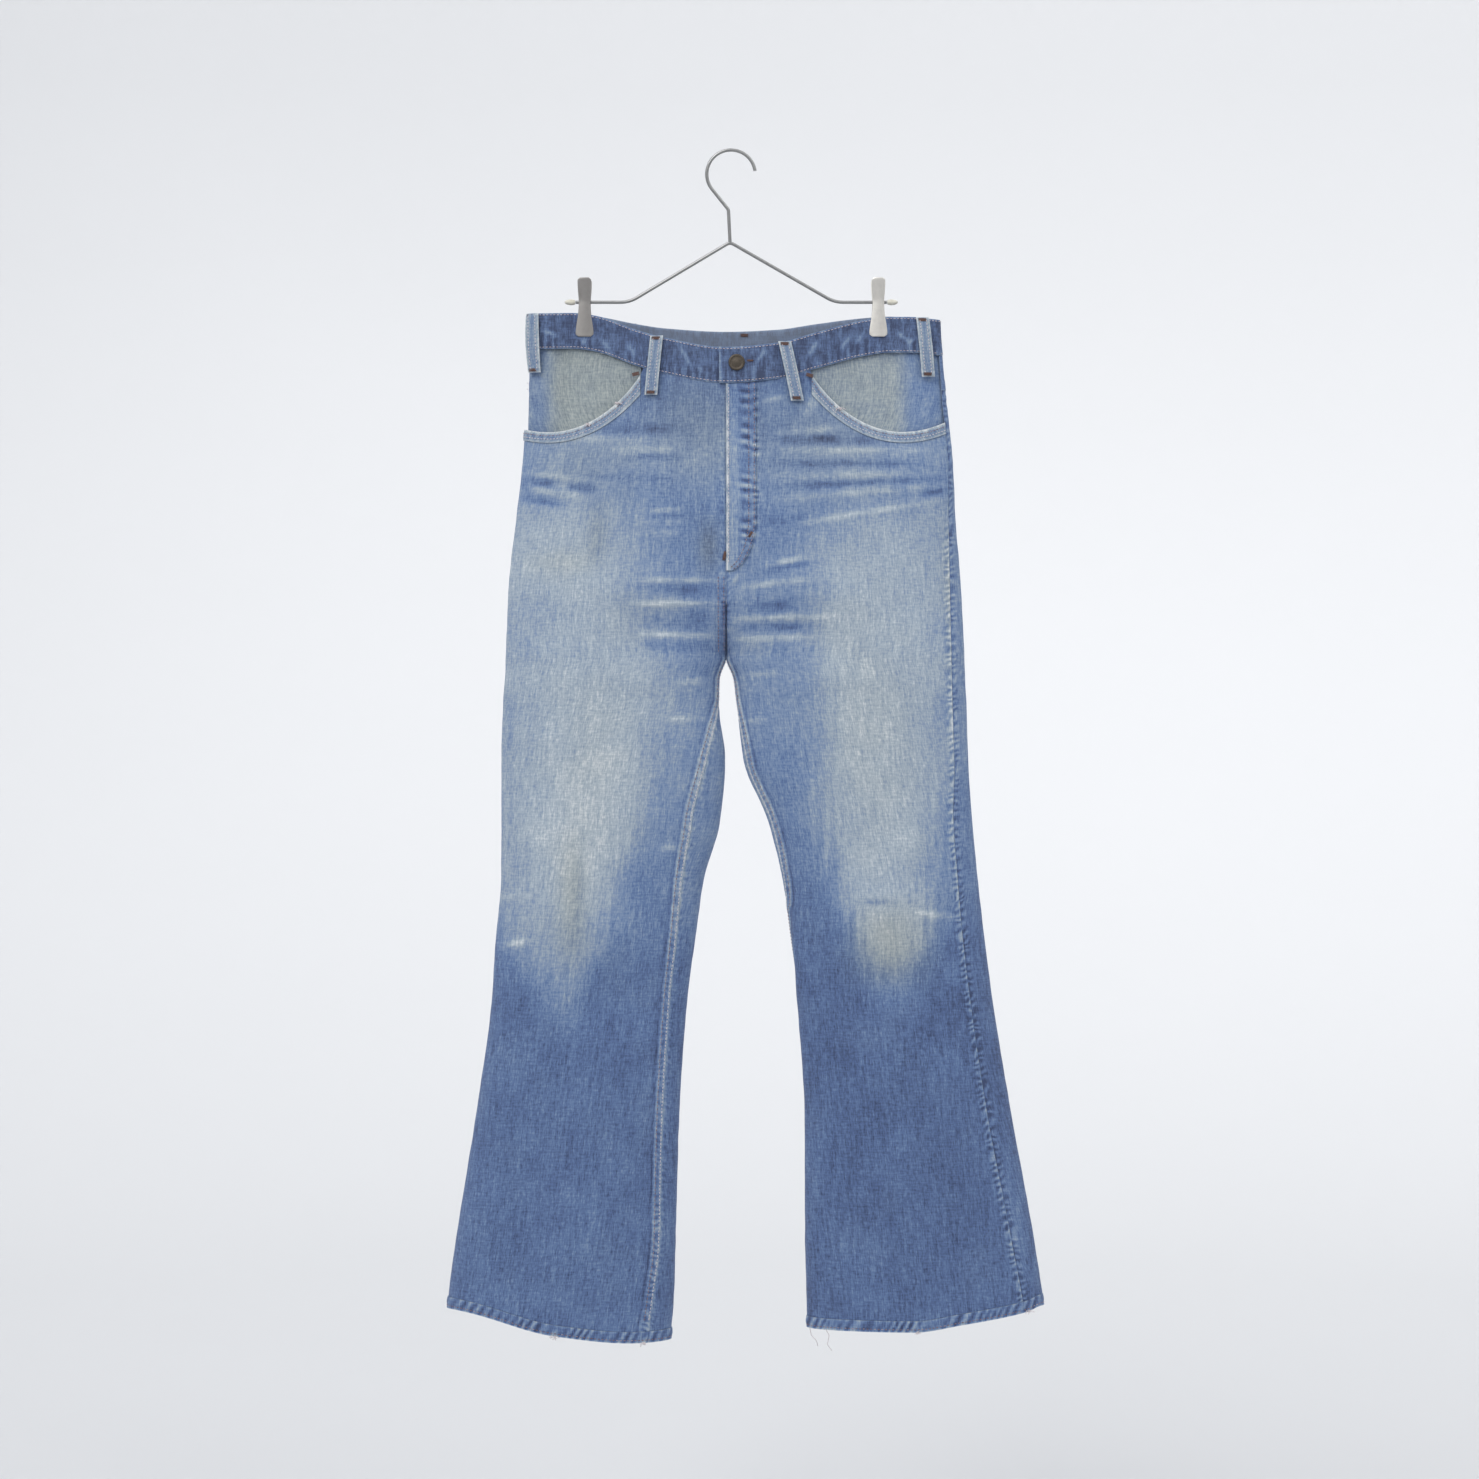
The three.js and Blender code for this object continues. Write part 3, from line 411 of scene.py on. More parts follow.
def wash_and_shade(x, drop, is_front):
    """How pale the cloth is, from 0 for deep blue to 1, with wash and wear and with painted light
    and shade of creases and folds.
    """
    streaks = waves(7, 11, x, drop / 9)
    leg = []
    for half, rows in ((RIGHT, RIGHT_WASH), (LEFT, LEFT_WASH)):
        off = (x - read(rows, "drop", "middle", drop)) * half.side
        side = np.where(off > 0, read(rows, "drop", "outward", drop),
                        read(rows, "drop", "inward", drop))
        off = np.clip(np.abs(off) / side + 0.14 * streaks, 0, 9)
        worn = read(rows, "drop", "worn", drop) * np.exp(-off ** 3) * is_front
        leg.append(read(rows, "drop", "all", drop) + worn)
    paleness_and_shade = mix(leg[0], leg[1], step_up(x, RISE_SEAM_X - 6, RISE_SEAM_X + 6))
    paleness_and_shade = paleness_and_shade + marks(WEAR_AND_VALLEY_SHADE, x, drop, is_front) * (2.25 + 0.8 * waves(8, 30, x, drop * 1.5))
    paleness_and_shade = paleness_and_shade + marks(PATCHES_AND_FOLD_SHADE, x, drop, is_front) + 0.03 * streaks + 0.03 * waves(3, 55, x, drop)
    return paleness_and_shade + 0.025 * waves(4, 6, x, drop / 4)


def greyed(x, drop, is_front):
    return np.clip(marks(GREYED, x, drop, is_front), 0, 1)


def pucker(seed, along, pitch):
    """Uneven ridges along a seam, from -1 to 1."""
    drift = 2.2 * waves(seed, pitch * 7, along)
    strength = 0.7 + 0.4 * waves(seed + 1, pitch * 5, along)
    return np.sin(2 * np.pi * along / pitch + drift) * strength


def cloth_mesh(name, outer, inner, flat, paint, reverse=1.0):
    """A closed wall between an outer and an inner grid of points, in millimetres. flat holds
    the cloth's own coordinates and paint a value at each point for every attribute."""
    columns, rows = outer.shape[0] - 1, outer.shape[1] - 1
    at = np.arange(outer[..., 0].size * 2).reshape(2, columns + 1, rows + 1)
    quads = []
    for layer in (0, 1):
        grid = at[layer]
        corners = [grid[:-1, :-1], grid[1:, :-1], grid[1:, 1:], grid[:-1, 1:]]
        if layer:
            corners.reverse()
        quads.append(np.stack(corners, axis=-1).reshape(-1, 4))
    top, foot = at[:, :, 0], at[:, :, -1]
    first, last = at[:, 0], at[:, -1]
    for a, b in ((top[0], top[1]), (foot[1], foot[0]), (first[1], first[0]), (last[0], last[1])):
        quads.append(np.stack([a[:-1], b[:-1], b[1:], a[1:]], axis=-1))
    faces = np.concatenate(quads)
    points = np.concatenate([outer.reshape(-1, 3), inner.reshape(-1, 3)]) * MM
    a, b, c, d = (points[faces[:, k]] for k in range(4))
    volume = np.einsum("ij,ij->i", a, np.cross(b, c) + np.cross(c, d)).sum()
    if volume < 0:
        faces = faces[:, ::-1]
    mesh = bpy.data.meshes.new(name + "_cloth")
    mesh.from_pydata(points.tolist(), [], faces.tolist())
    mesh.update()
    layer = mesh.uv_layers.new(name="weave")
    corner = np.empty(len(mesh.loops), int)
    mesh.loops.foreach_get("vertex_index", corner)
    both = np.concatenate([flat.reshape(-1, 2)] * 2) * MM
    layer.data.foreach_set("uv", both[corner].ravel())
    for key, values in paint.items():
        values = np.broadcast_to(values, outer.shape[:2]).ravel()
        attribute = mesh.attributes.new(key, "FLOAT", "POINT")
        attribute.data.foreach_set("value", np.concatenate([values, values]))
    inside = mesh.attributes.new("inside", "FLOAT", "POINT")
    inside.data.foreach_set("value", np.repeat([0.0, reverse], outer[..., 0].size))
    piece = bpy.data.objects.new(mesh.name, mesh)
    bpy.context.collection.objects.link(piece)
    bpy.ops.object.select_all(action="DESELECT")
    piece.select_set(True)
    bpy.context.view_layer.objects.active = piece
    bpy.ops.object.shade_smooth_by_angle(angle=math.radians(50))
    return piece


def laid_out(points):
    """The cloth's own coordinates of a grid of points: how far round, and how far down."""
    round_ = np.linalg.norm(np.diff(points, axis=0), axis=-1)
    round_ = np.concatenate([np.zeros((1, points.shape[1])), np.cumsum(round_, axis=0)])
    down = np.linalg.norm(np.diff(points, axis=1), axis=-1)
    down = np.concatenate([np.zeros((points.shape[0], 1)), np.cumsum(down, axis=1)], axis=1)
    return round_, down


class Jeans:
    """What the operators share: the pieces of cloth, and the thread that is sewn on each."""

    def __init__(self):
        self.sheets = {}
        self.thread = {}

    def sew(self, host, points, normals, kind="seam", length=2.5, gap=1.0):
        """Notes a row of stitches along a line of points on a piece."""
        self.thread.setdefault(host, []).append((points, normals, kind, length, gap))

    def sew_on(self, host, half, turn, drop, distance, **how):
        turn, drop = np.broadcast_arrays(np.asarray(turn, float), np.asarray(drop, float))
        points = half.surface(turn, drop, distance)
        self.sew(host, points, half.normal(turn, drop), **how)

    def tack(self, host, half, is_front, x, drop, distance, lean=0.0, width=9.0, rows=5):
        """A bar tack, a short block of close threads. lean turns it from level, in degrees."""
        turn = half.turn_at(np.array(x, float), np.array(drop, float), is_front)
        centre = half.surface(turn, drop, distance)
        normal = half.normal(turn, np.array(drop, float))
        along = np.array([math.cos(math.radians(lean)), 0, math.sin(math.radians(lean))])
        along -= normal * (along @ normal)
        side = np.cross(normal, along)
        for i in range(rows):
            off = side * (i - (rows - 1) / 2) * 0.62
            ends = [centre + off - along * width / 2, centre + off + along * width / 2]
            self.sew(host, np.array(ends), np.array([normal, normal]), "tack", width - 0.2, 0.2)


JEANS = Jeans()


def make_sheet(name, outer, inner, flat, paint, flat_size, share=1.0, reverse=1.0):
    """A piece of cloth, noted with its flat size in metres and the share of it that it fills."""
    piece = cloth_mesh(name, outer, inner, flat, paint, reverse)
    JEANS.sheets[name] = (piece, flat_size, share)


def panel_places(half, is_front, lines, counts, columns, first=0.0):
    """Turns and drops of a grid between a panel's two seams and its level lines."""
    u = np.linspace(first, 1, columns + 1)
    levels = [half.settle(is_front, u, line) for line in lines]
    drops = [mix(levels[k], levels[k + 1], j / count)
             for k, count in enumerate(counts) for j in range(count)]
    drop = np.stack(drops + [levels[-1]], axis=1)
    start, end = half.edges(is_front, drop)
    return mix(start, end, u[:, None]), drop


def scoop_share(half):
    """The share of a front's width at which its scoop starts."""
    start, end = half.edges(True, SCOOP_TOP)
    turn = half.turn_at(RISE_SEAM_X + half.side * SCOOP_START, SCOOP_TOP, True)
    return float((turn - start) / (end - start))


def under_layers(half, x, drop, is_front):
    """1 where another layer of cloth lies on the panel, and 0 beside it."""
    if is_front:
        rim = step_up(rim_drop(half, x) + 4 - drop, 0, 3) * (np.abs(x - RISE_SEAM_X) > 80)
        fly = step_up(x, -9, -6) * step_up(30 - x, 0, 3) * step_up(FLY_END + 5 - drop, 0, 3)
        return np.maximum(rim, fly)
    sideways = np.abs(x - RISE_SEAM_X - half.side * POCKET_REACH)
    return step_up(80 - sideways, 0, 3) * step_up(drop, 290, 294) * step_up(468 - drop, 0, 3)


def felled(seed, off, drop, strong_from=1080):
    """The rise, the paleness and the pulled stretch of a felled seam, by the distance off it. The
    paleness holds painted shade in the trough beside the seam.
    """
    ridge = step_up(8.6 - off, 0, 1.5)
    strength = 0.55 + 0.45 * step_up(drop, strong_from, strong_from + 25)
    crossing = pucker(seed, drop + 0.7 * off, 9) * bell(off - 4, 5) * strength
    rise = 0.75 * ridge + 0.35 * crossing - 0.5 * bell(off - 10, 2)
    # The last term is painted shade in the trough beside the seam.
    lines = 0.82 * bell(off - 0.7, 1.6) + 0.5 * bell(off - 7.4, 1.6) - 0.3 * bell(off - 10.5, 2)
    return rise, lines, 0.34 * strength * bell(off - 4, 4.5)


def pressed(seed, off, drop, strength=1.0, pitch=7.5, edge=0.5, pulled=0.2):
    """The same for a plain seam that is pressed open, with its pitch and how pale its edge is; a
    negative edge is a painted shadow line along the seam.
    """
    crossing = pucker(seed, drop + 0.3 * off, pitch) * bell(off - 3, 4.5)
    rise = (0.35 * crossing + 0.3 * bell(off - 3, 4)) * strength
    return rise, edge * bell(off - 0.6, 1.4) * strength, pulled * bell(off - 2.5, 3.5) * strength


def make_panel(half, is_front, sizes):
    name = ("front_" if is_front else "back_") + half.name
    wall = sizes.cloth_wall / MM

    def crotch(_, x):
        return np.full_like(x, CROTCH_DROP)

    def top_line(side, x):
        return (scoop_drop(side, x) if is_front else yoke_drop(side, x)) + SEAM_GAP / 2

    def foot_line(side, x):
        return hem_drop(side, x) - HEM_HEIGHT - SEAM_GAP / 2

    counts = [round(270 / sizes.cell * MM), round(680 / sizes.cell * MM)]
    turn, drop = panel_places(half, is_front, [top_line, crotch, foot_line], counts,
                              round(240 / sizes.cell * MM))
    plain = half.surface(turn, drop)
    round_, down = laid_out(plain)
    from_start, from_end = round_, round_[-1:] - round_
    x = plain[..., 0]
    below = step_up(drop, CROTCH_DROP - 2, CROTCH_DROP + 4)
    inner_off, outer_off = (from_start, from_end) if is_front else (from_end, from_start)
    seed = 20 + 10 * is_front + (half.side > 0)
    # A negative edge paints a shadow line along a pressed seam (the fronts' rise seam, the backs'
    # outseam), and the felled seams bring painted shade in their trough.
    if is_front:
        inseam = felled(seed, inner_off, drop)
        outseam = pressed(seed + 3, outer_off, drop, 1.0, 10, 0.5, 0.4)
        rise_seam = pressed(seed + 5, inner_off, drop, 0.8, 7.5, -0.1)
    else:
        inseam = pressed(seed, inner_off, drop, 0.7)
        outseam = pressed(seed + 3, outer_off, drop, 1.3, 14, -0.2, 0.24)
        rise_seam = felled(seed + 5, inner_off, drop, 200)
        if half.side > 0:
            rise_seam = pressed(seed + 5, inner_off, drop, 0.6)
    lower = step_up(drop, 370, 410) if is_front else 1
    rise, paleness_and_shade, pulled = (mix(c, a, below) + b * level for a, b, c, level in zip(
        inseam, outseam, rise_seam, (1, lower, lower)))
    foot_off = down[:, -1:] - down
    hem_pull = pucker(seed + 7, x, 11) * bell(foot_off, 9)
    rise = rise + 0.35 * hem_pull
    paleness_and_shade = paleness_and_shade + 0.1 * hem_pull
    top_pull = pucker(seed + 8, x, 9) * bell(down, 10)
    rise = rise + 0.3 * top_pull
    paleness_and_shade = paleness_and_shade + 0.08 * top_pull
    cover = under_layers(half, x, drop, is_front)
    rise = np.where(cover > 0, np.minimum(rise, mix(9, 0, cover)), rise)
    rise = rise + 0.12 * waves(seed + 9, 26, x, drop) * (1 - cover)
    outer = half.surface(turn, drop, rise)
    inner = half.surface(turn, drop, np.minimum(rise, 0.2) - wall)
    flat = np.stack([round_ - round_[-1:] / 2, drop], axis=-1)
    if is_front:
        paleness_and_shade = paleness_and_shade + fly_spots(x, drop) * (x > 0)
    paint = {"fade": wash_and_shade(x, drop, is_front) + paleness_and_shade, "grey": greyed(x, drop, is_front),
             "pulled": pulled * (1 - cover)}
    make_sheet(name, outer, inner, flat, paint, (0.29, 1.02), 0.79)


def inseam_line(half, off, start, end):
    """Turns and drops of a line that runs at that distance from a front's inseam."""
    drop = np.linspace(start, end, 400)
    inseam, _ = half.edges(True, drop)
    return half.further(inseam, drop, off), drop


def fray(host, half, x, drop, count, reach, lift):
    """A tuft of short white threads that have come loose at an edge of the front."""
    chance = np.random.default_rng(int(abs(x)))
    for _ in range(count):
        at = x + chance.uniform(-0.5, 0.5) * reach
        level = drop + chance.uniform(-1, 0.6)
        turn = half.turn_at(np.array(at), np.array(level), True)
        start, normal = half.surface(turn, level, lift), half.normal(turn, level)
        lean = chance.uniform(-1, 1)
        way = np.array([lean, 0, -chance.uniform(0.1, 1)]) + normal * chance.uniform(0.1, 0.6)
        way *= chance.uniform(0.4, 1) * reach / np.linalg.norm(way)
        line = np.array([start, start + way])
        JEANS.sew(host, line, np.array([normal, normal]), "seam", np.linalg.norm(way) - 0.2, 0.2)


def loose_thread(places):
    """A thread that hangs free from the left leg's hem, through places given as x and drop."""
    walk = np.linspace(0, len(places) - 1, 60)
    x, drop = (np.interp(walk, range(len(places)), [place[i] for place in places]) for i in (0, 1))
    turn = LEFT.turn_at(np.full(60, x[0]), np.full(60, drop[0]), True)
    points = LEFT.surface(turn, np.full(60, drop[0]), 1.2)
    points[:, 0], points[:, 2] = x, -drop
    points[:, 1] += 0.8 * np.sin(walk * 3)
    JEANS.sew("hem_left_front", points, LEFT.normal(turn, drop), "seam", 1.6, -0.7)


def sew_frayed():
    """Frayed spots and loose threads, where the hems and the scoops' rims are worn through."""
    for half, x, count, reach in ((RIGHT, -181, 12, 6), (RIGHT, -91, 12, 5), (LEFT, 191, 10, 4),
                                  (LEFT, 306, 12, 5)):
        level = float(hem_drop(half, x)) - 0.5
        fray(f"hem_{half.name}_front", half, x, level, count, reach, 1.2)
    for half, x in ((RIGHT, -116), (RIGHT, -148), (LEFT, 112)):
        fray("pocket_rim_" + half.name, half, x, float(scoop_drop(half, x)) + 1, 10, 5, 1.9)
    for places in (((81, 1212), (83, 1221), (88, 1226), (90, 1233)),
                   ((97, 1212), (101, 1219), (99, 1228), (104, 1235))):
        loose_thread(places)


def sew_panels():
    for half in HALVES:
        host = "front_" + half.name
        foot = 1205 if half.side < 0 else 1200
        for off, kind in ((1.8, "seam"), (6.6, "fly")):
            turn, drop = inseam_line(half, off, CROTCH_DROP + 6, foot)
            JEANS.sew_on(host, half, turn, drop, 0.85, kind=kind, gap=1.1)
    for off in (-2.2, -8.0):
        drop = np.linspace(FLY_END + 6, CROTCH_DROP - 2, 60)
        turn = RIGHT.turn_at(RISE_SEAM_X + off, drop, True)
        JEANS.sew_on("front_right", RIGHT, turn, drop, 0.3, kind="fly")
    for off in (2.2, 8.0):
        drop = np.linspace(296, CROTCH_DROP - 2, 120)
        turn = RIGHT.turn_at(RISE_SEAM_X - off, drop, False)
        JEANS.sew_on("back_right", RIGHT, turn, drop, 0.85)
    for half in HALVES:
        x = np.linspace(RISE_SEAM_X + half.side * 1.5, half.side * 210 + RISE_SEAM_X, 160)
        for off in (3.2, 9.4):
            drop = yoke_drop(half, x) - off
            turn = half.turn_at(x, drop, False)
            JEANS.sew_on("yoke_" + half.name, half, turn, drop, 0.45)
    JEANS.tack("front_right", RIGHT, True, -6.5, 419, 0.9, 78, 11, 5)
    JEANS.tack("front_right", RIGHT, True, -97.8, 231, 2.2, 12, 9, 6)
    JEANS.tack("front_left", LEFT, True, 80.6, 232.5, 2.2, -14, 9, 6)
    JEANS.tack("fly_flap", LEFT, True, 20, 397, 2.1, 60, 8, 4)


def make_yoke(half, sizes):
    name = "yoke_" + half.name

    def top(_, x):
        return waist_seam(x, False) + SEAM_GAP / 2

    def foot(side, x):
        return yoke_drop(side, x) - SEAM_GAP / 2

    turn, drop = panel_places(half, False, [top, foot], [18], 84)
    plain = half.surface(turn, drop)
    round_, down = laid_out(plain)
    x = plain[..., 0]
    foot_off = down[:, -1:] - down
    pull = pucker(61 + half.side, x, 8.5) * bell(foot_off - 6, 6)
    rise = 0.35 * step_up(12 - foot_off, 0, 2) + 0.25 * pull
    rise = rise + 0.25 * pucker(65 + half.side, x, 9) * bell(down, 8)
    outer = half.surface(turn, drop, rise)
    inner = half.surface(turn, drop, -sizes.cloth_wall / MM)
    fade = wash_and_shade(x, drop, False) + 0.4 * bell(foot_off, 1.5) + 0.2 * pull
    flat = np.stack([round_ - round_[-1:] / 2, drop], axis=-1)
    make_sheet(name, outer, inner, flat, {"fade": fade, "grey": 0.0}, (0.24, 0.075), 0.58)


def make_hem(half, is_front, sizes):
    face = "front" if is_front else "back"
    name = f"hem_{half.name}_{face}"

    def top(side, x):
        return hem_drop(side, x) - HEM_HEIGHT + SEAM_GAP / 2

    turn, drop = panel_places(half, is_front, [top, hem_drop], [8], 200)
    plain = half.surface(turn, drop)
    round_, down = laid_out(plain)
    x = plain[..., 0]
    height = down / HEM_HEIGHT
    rope = pucker(81 + half.side + 2 * is_front, round_ * half.side + 0.5 * down, 9.5)
    rise = 0.8 + 0.45 * rope * np.sin(np.pi * np.clip(height, 0, 1)) + 0.3 * np.sin(np.pi * height)
    rise = rise - 0.5 * bell(down - 8.6, 1.2)
    outer = half.surface(turn, drop, rise)
    inner = half.surface(turn, drop, -sizes.cloth_wall / MM)
    frayed = marks(FRAYED, x, drop, is_front)
    fade = 0.14 + 0.42 * rope + 0.5 * bell(height - 1, 0.12) + frayed + 0.3 * bell(height, 0.1)
    flat = np.stack([round_ - round_[-1:] / 2, drop], axis=-1)
    make_sheet(name, outer, inner, flat, {"fade": fade, "grey": 0.0}, (0.29, 0.0115))
    normal = half.normal(turn, drop)[:, 6]
    JEANS.sew(name, outer[:, 6] + normal * 0.15, normal, "fly", 2.6, 1.2)


FRAYED = table(MARK, [
    ("front", -181, 1216, 0, 14, 5, 0.6), ("front", -91, 1224, 0, 10, 4, 0.6),
    ("front", 191, 1210, 0, 10, 4, 0.6), ("front", 305, 1192, 0, 12, 5, 0.5),
    ("front", 100, 1212, 0, 26, 4, 0.4), ("back", -150, 1218, 0, 20, 5, 0.5),
    ("back", 180, 1212, 0, 22, 5, 0.5),
])


def make_facing(half):
    """The pocket cloth that shows in a scoop."""
    name = "pocket_facing_" + half.name

    def top(_, x):
        return waist_seam(x, True) + SEAM_GAP / 2

    turn, drop = panel_places(half, True, [top, rim_drop], [24], 40, scoop_share(half))
    share = np.linspace(0, 1, len(turn))[:, None] + 0 * drop
    turn = half.further(turn, drop, 5 * step_up(share, 0.94, 1))
    plain = half.surface(turn, drop)
    round_, down = laid_out(plain)
    x = plain[..., 0]
    sag = -2.6 - 0.5 * bell(scoop_drop(half, x) - drop, 7) + 0.25 * waves(91, 30, x, drop)
    sag = np.minimum(sag + 0.35 * pucker(92, x, 10) * bell(down, 8), -2.2)
    outer = half.surface(turn, drop, sag)
    inner = half.surface(turn, drop, sag - 1.2)
    side = step_up(np.abs(x - RISE_SEAM_X), 168, 196)
    # Bluer towards the side seam, with painted shadow just under the waistband.
    paint = {"fade": 0.66 - 0.26 * side - 0.2 * bell(down, 5) + 0.03 * waves(93, 24, x, drop),
             "grey": 0.88 - 0.1 * half.side - 0.78 * side}
    flat = np.stack([round_, drop], axis=-1)
    make_sheet(name, outer, inner, flat, paint, (0.12, 0.08), 0.75)


def make_rim(half):
    """The turned edge of a scoop."""
    name = "pocket_rim_" + half.name

    def top(side, x):
        return scoop_drop(side, x) + SEAM_GAP / 2

    turn, drop = panel_places(half, True, [top, rim_drop], [6], 56, scoop_share(half))
    plain = half.surface(turn, drop)
    round_, down = laid_out(plain)
    x = plain[..., 0]
    v = down / down[:, -1:]
    walk = np.cumsum(np.linalg.norm(np.diff(plain[:, 3], axis=0), axis=-1))
    walk = np.concatenate([[0], walk])[:, None]
    rope = pucker(95 + half.side, walk + 4 * v, 7)
    rise = 1.1 + 0.35 * np.sin(np.pi * v) + 0.22 * rope * np.sin(np.pi * v)
    outer = half.surface(turn, drop, rise)
    inner = half.surface(turn, drop, 0.3)
    worn = marks(RIM_WORN, x, drop, True)
    fade = 0.46 + 0.2 * rope + 0.9 * bell(v, 0.2) + 0.5 * bell(v - 1, 0.16) + worn
    flat = np.stack([round_, drop], axis=-1)
    make_sheet(name, outer, inner, flat, {"fade": fade, "grey": 0.3}, (0.15, 0.012))
    for row, kind in ((2, "fly"), (4, "seam")):
        JEANS.sew(name, outer[:, row], half.normal(turn, drop)[:, row], kind, 2.3, 1.1)


RIM_WORN = table(MARK, [
    ("front", -116, 264, 40, 10, 5, 0.45), ("front", -148, 279, 20, 12, 5, 0.4),
    ("front", 110, 266, -40, 12, 5, 0.35), ("front", 150, 284, -10, 14, 5, 0.3),
])


def layer_on_hips(name, half, x, drop, is_front, lifted, fade, wall, flat_size, share):
    """A layer that lies on the cloth of one hip, through points given as x and drop."""
    turn = half.turn_at(x, drop, is_front)
    outer = half.surface(turn, drop, lifted + wall)
    inner = half.surface(turn, drop, 0.6)
    flat = np.stack([x, drop], axis=-1)
    make_sheet(name, outer, inner, flat, {"fade": fade, "grey": 0.0}, flat_size, share)


def fly_reach(drop):
    """How far the fly flap reaches from its straight edge, down to its curved end."""
    bend = np.clip((drop - FLY_BEND) / (FLY_END + 1 - FLY_BEND), 0, 1)
    return FLY_WIDTH * np.sqrt(1 - bend ** 2)


def fly_spots(x, drop):
    """Worn spots where the fly's curved line of stitches pulls the cloth."""
    off = x - RISE_SEAM_X - 0.5 - fly_reach(drop)
    return 0.58 * pucker(103, drop, 9) * bell(off, 3.2) * step_up(FLY_END - drop, 0, 20)


def make_fly():
    across = np.linspace(0, 1, 25)[:, None]
    v = np.linspace(0, 1, 111)[None, :]
    first = RISE_SEAM_X + 0.5
    top = waist_seam(first + FLY_WIDTH * across, True) + 0.3
    drop = mix(top, FLY_END, v)
    width = fly_reach(drop)
    x = first + width * across
    edge_off = width * across
    level = pucker(101, drop - 0.15 * x, 10.5) * bell(edge_off - 20, 6)
    spots = fly_spots(x, drop)
    lifted = 0.6 + 0.35 * level + 0.7 * spots + 0.35 * bell(edge_off, 1.6)
    strip = step_up(14.5 - edge_off, 0, 4)
    fade = wash_and_shade(x, drop, True) + 0.55 * level + spots
    fade = fade + (0.75 + 0.5 * pucker(104, drop, 17)) * bell(edge_off, 1.9)
    fade = fade + 0.16 * strip - 0.12 * bell(edge_off - 19, 5) - 0.1 * step_up(300 - drop, 0, 60)
    layer_on_hips("fly_flap", LEFT, x, drop, True, lifted, fade, 1.0, (0.032, 0.197), 0.93)
    for off in (1.6, 7.2):
        reach = width[0] - off
        keep = reach > 0.7
        line = drop[0][keep]
        turn = LEFT.turn_at(first + reach[keep], line, True)
        JEANS.sew_on("fly_flap", LEFT, turn, line, 1.95, kind="fly")
    drop_line = np.linspace(245, 428, 120)
    turn = LEFT.turn_at(np.full(120, first + 2.2), drop_line, True)
    JEANS.sew_on("fly_flap", LEFT, turn, drop_line, 2.1)


def make_back_pocket(half):
    name = "back_pocket_" + half.name
    across = np.linspace(-1, 1, 57)[:, None]
    v = np.linspace(0, 1, 59)[None, :]
    centre = RISE_SEAM_X + half.side * POCKET_REACH
    width = mix(POCKET_WIDTH, 130, v)
    foot = 146 + 12 * (1 - np.abs(across))
    x = centre + across * width / 2
    drop = 302 - 7 * across * half.side + foot * v
    side_off = (1 - np.abs(across)) * width / 2
    foot_off = foot * (1 - v)
    top_off = foot * v
    edge = np.minimum(side_off, foot_off)
    pull = pucker(111 + half.side, drop + across * 70, 9) * bell(edge - 3, 4)
    hem = step_up(25 - top_off, 0, 1.5)
    lifted = 0.6 + 0.3 * pull + 0.25 * hem + 0.3 * waves(112, 40, x, drop) * step_up(edge, 6, 30)
    fade = wash_and_shade(x, drop, False) + 0.1 + 0.2 * pull + 0.4 * bell(edge, 1.6)
    # A pale worn top edge, and a painted shadow line just under the turned hem's edge.
    fade = fade + 0.45 * bell(top_off, 1.8) - 0.15 * bell(top_off - 26, 2)
    layer_on_hips(name, half, x, drop, False, lifted, fade, 1.3, (0.15, 0.16), 0.9)
    for off in (2.6, 8.6):
        right, left = 1 - 2 * off / POCKET_WIDTH, -1 + 2 * off / POCKET_WIDTH
        low = 1 - off / POCKET_WIDTH
        path = [(left, 0.005), (left, low), (0, low), (right, low), (right, 0.005)]
        sew_across(name, path, x, drop, half, 2.3)
    sew_across(name, [(-0.97, 0.145), (0.97, 0.145)], x, drop, half, 2.35)
    for sign in (-1, 1):
        level = 306 - 7 * sign * half.side
        JEANS.tack(name, half, False, centre + sign * 71, level, 2.2, 90, 9, 4)


def sew_across(host, path, x, drop, half, distance):
    """Stitches on a back pocket, along a path given by its own shares across and down."""
    columns, rows = x.shape
    for (a, v0), (b, v1) in zip(path, path[1:]):
        t = np.linspace(0, 1, 60)
        i = (mix(a, b, t) + 1) / 2 * (columns - 1)
        j = mix(v0, v1, t) * (rows - 1)
        low_i, low_j = np.minimum(i.astype(int), columns - 2), np.minimum(j.astype(int), rows - 2)
        fi, fj = i - low_i, j - low_j

        def between(grid):
            upper = mix(grid[low_i, low_j], grid[low_i + 1, low_j], fi)
            lower = mix(grid[low_i, low_j + 1], grid[low_i + 1, low_j + 1], fi)
            return mix(upper, lower, fj)

        line_x, line_drop = between(x), between(drop)
        turn = half.turn_at(line_x, line_drop, False)
        JEANS.sew_on(host, half, turn, line_drop, distance)


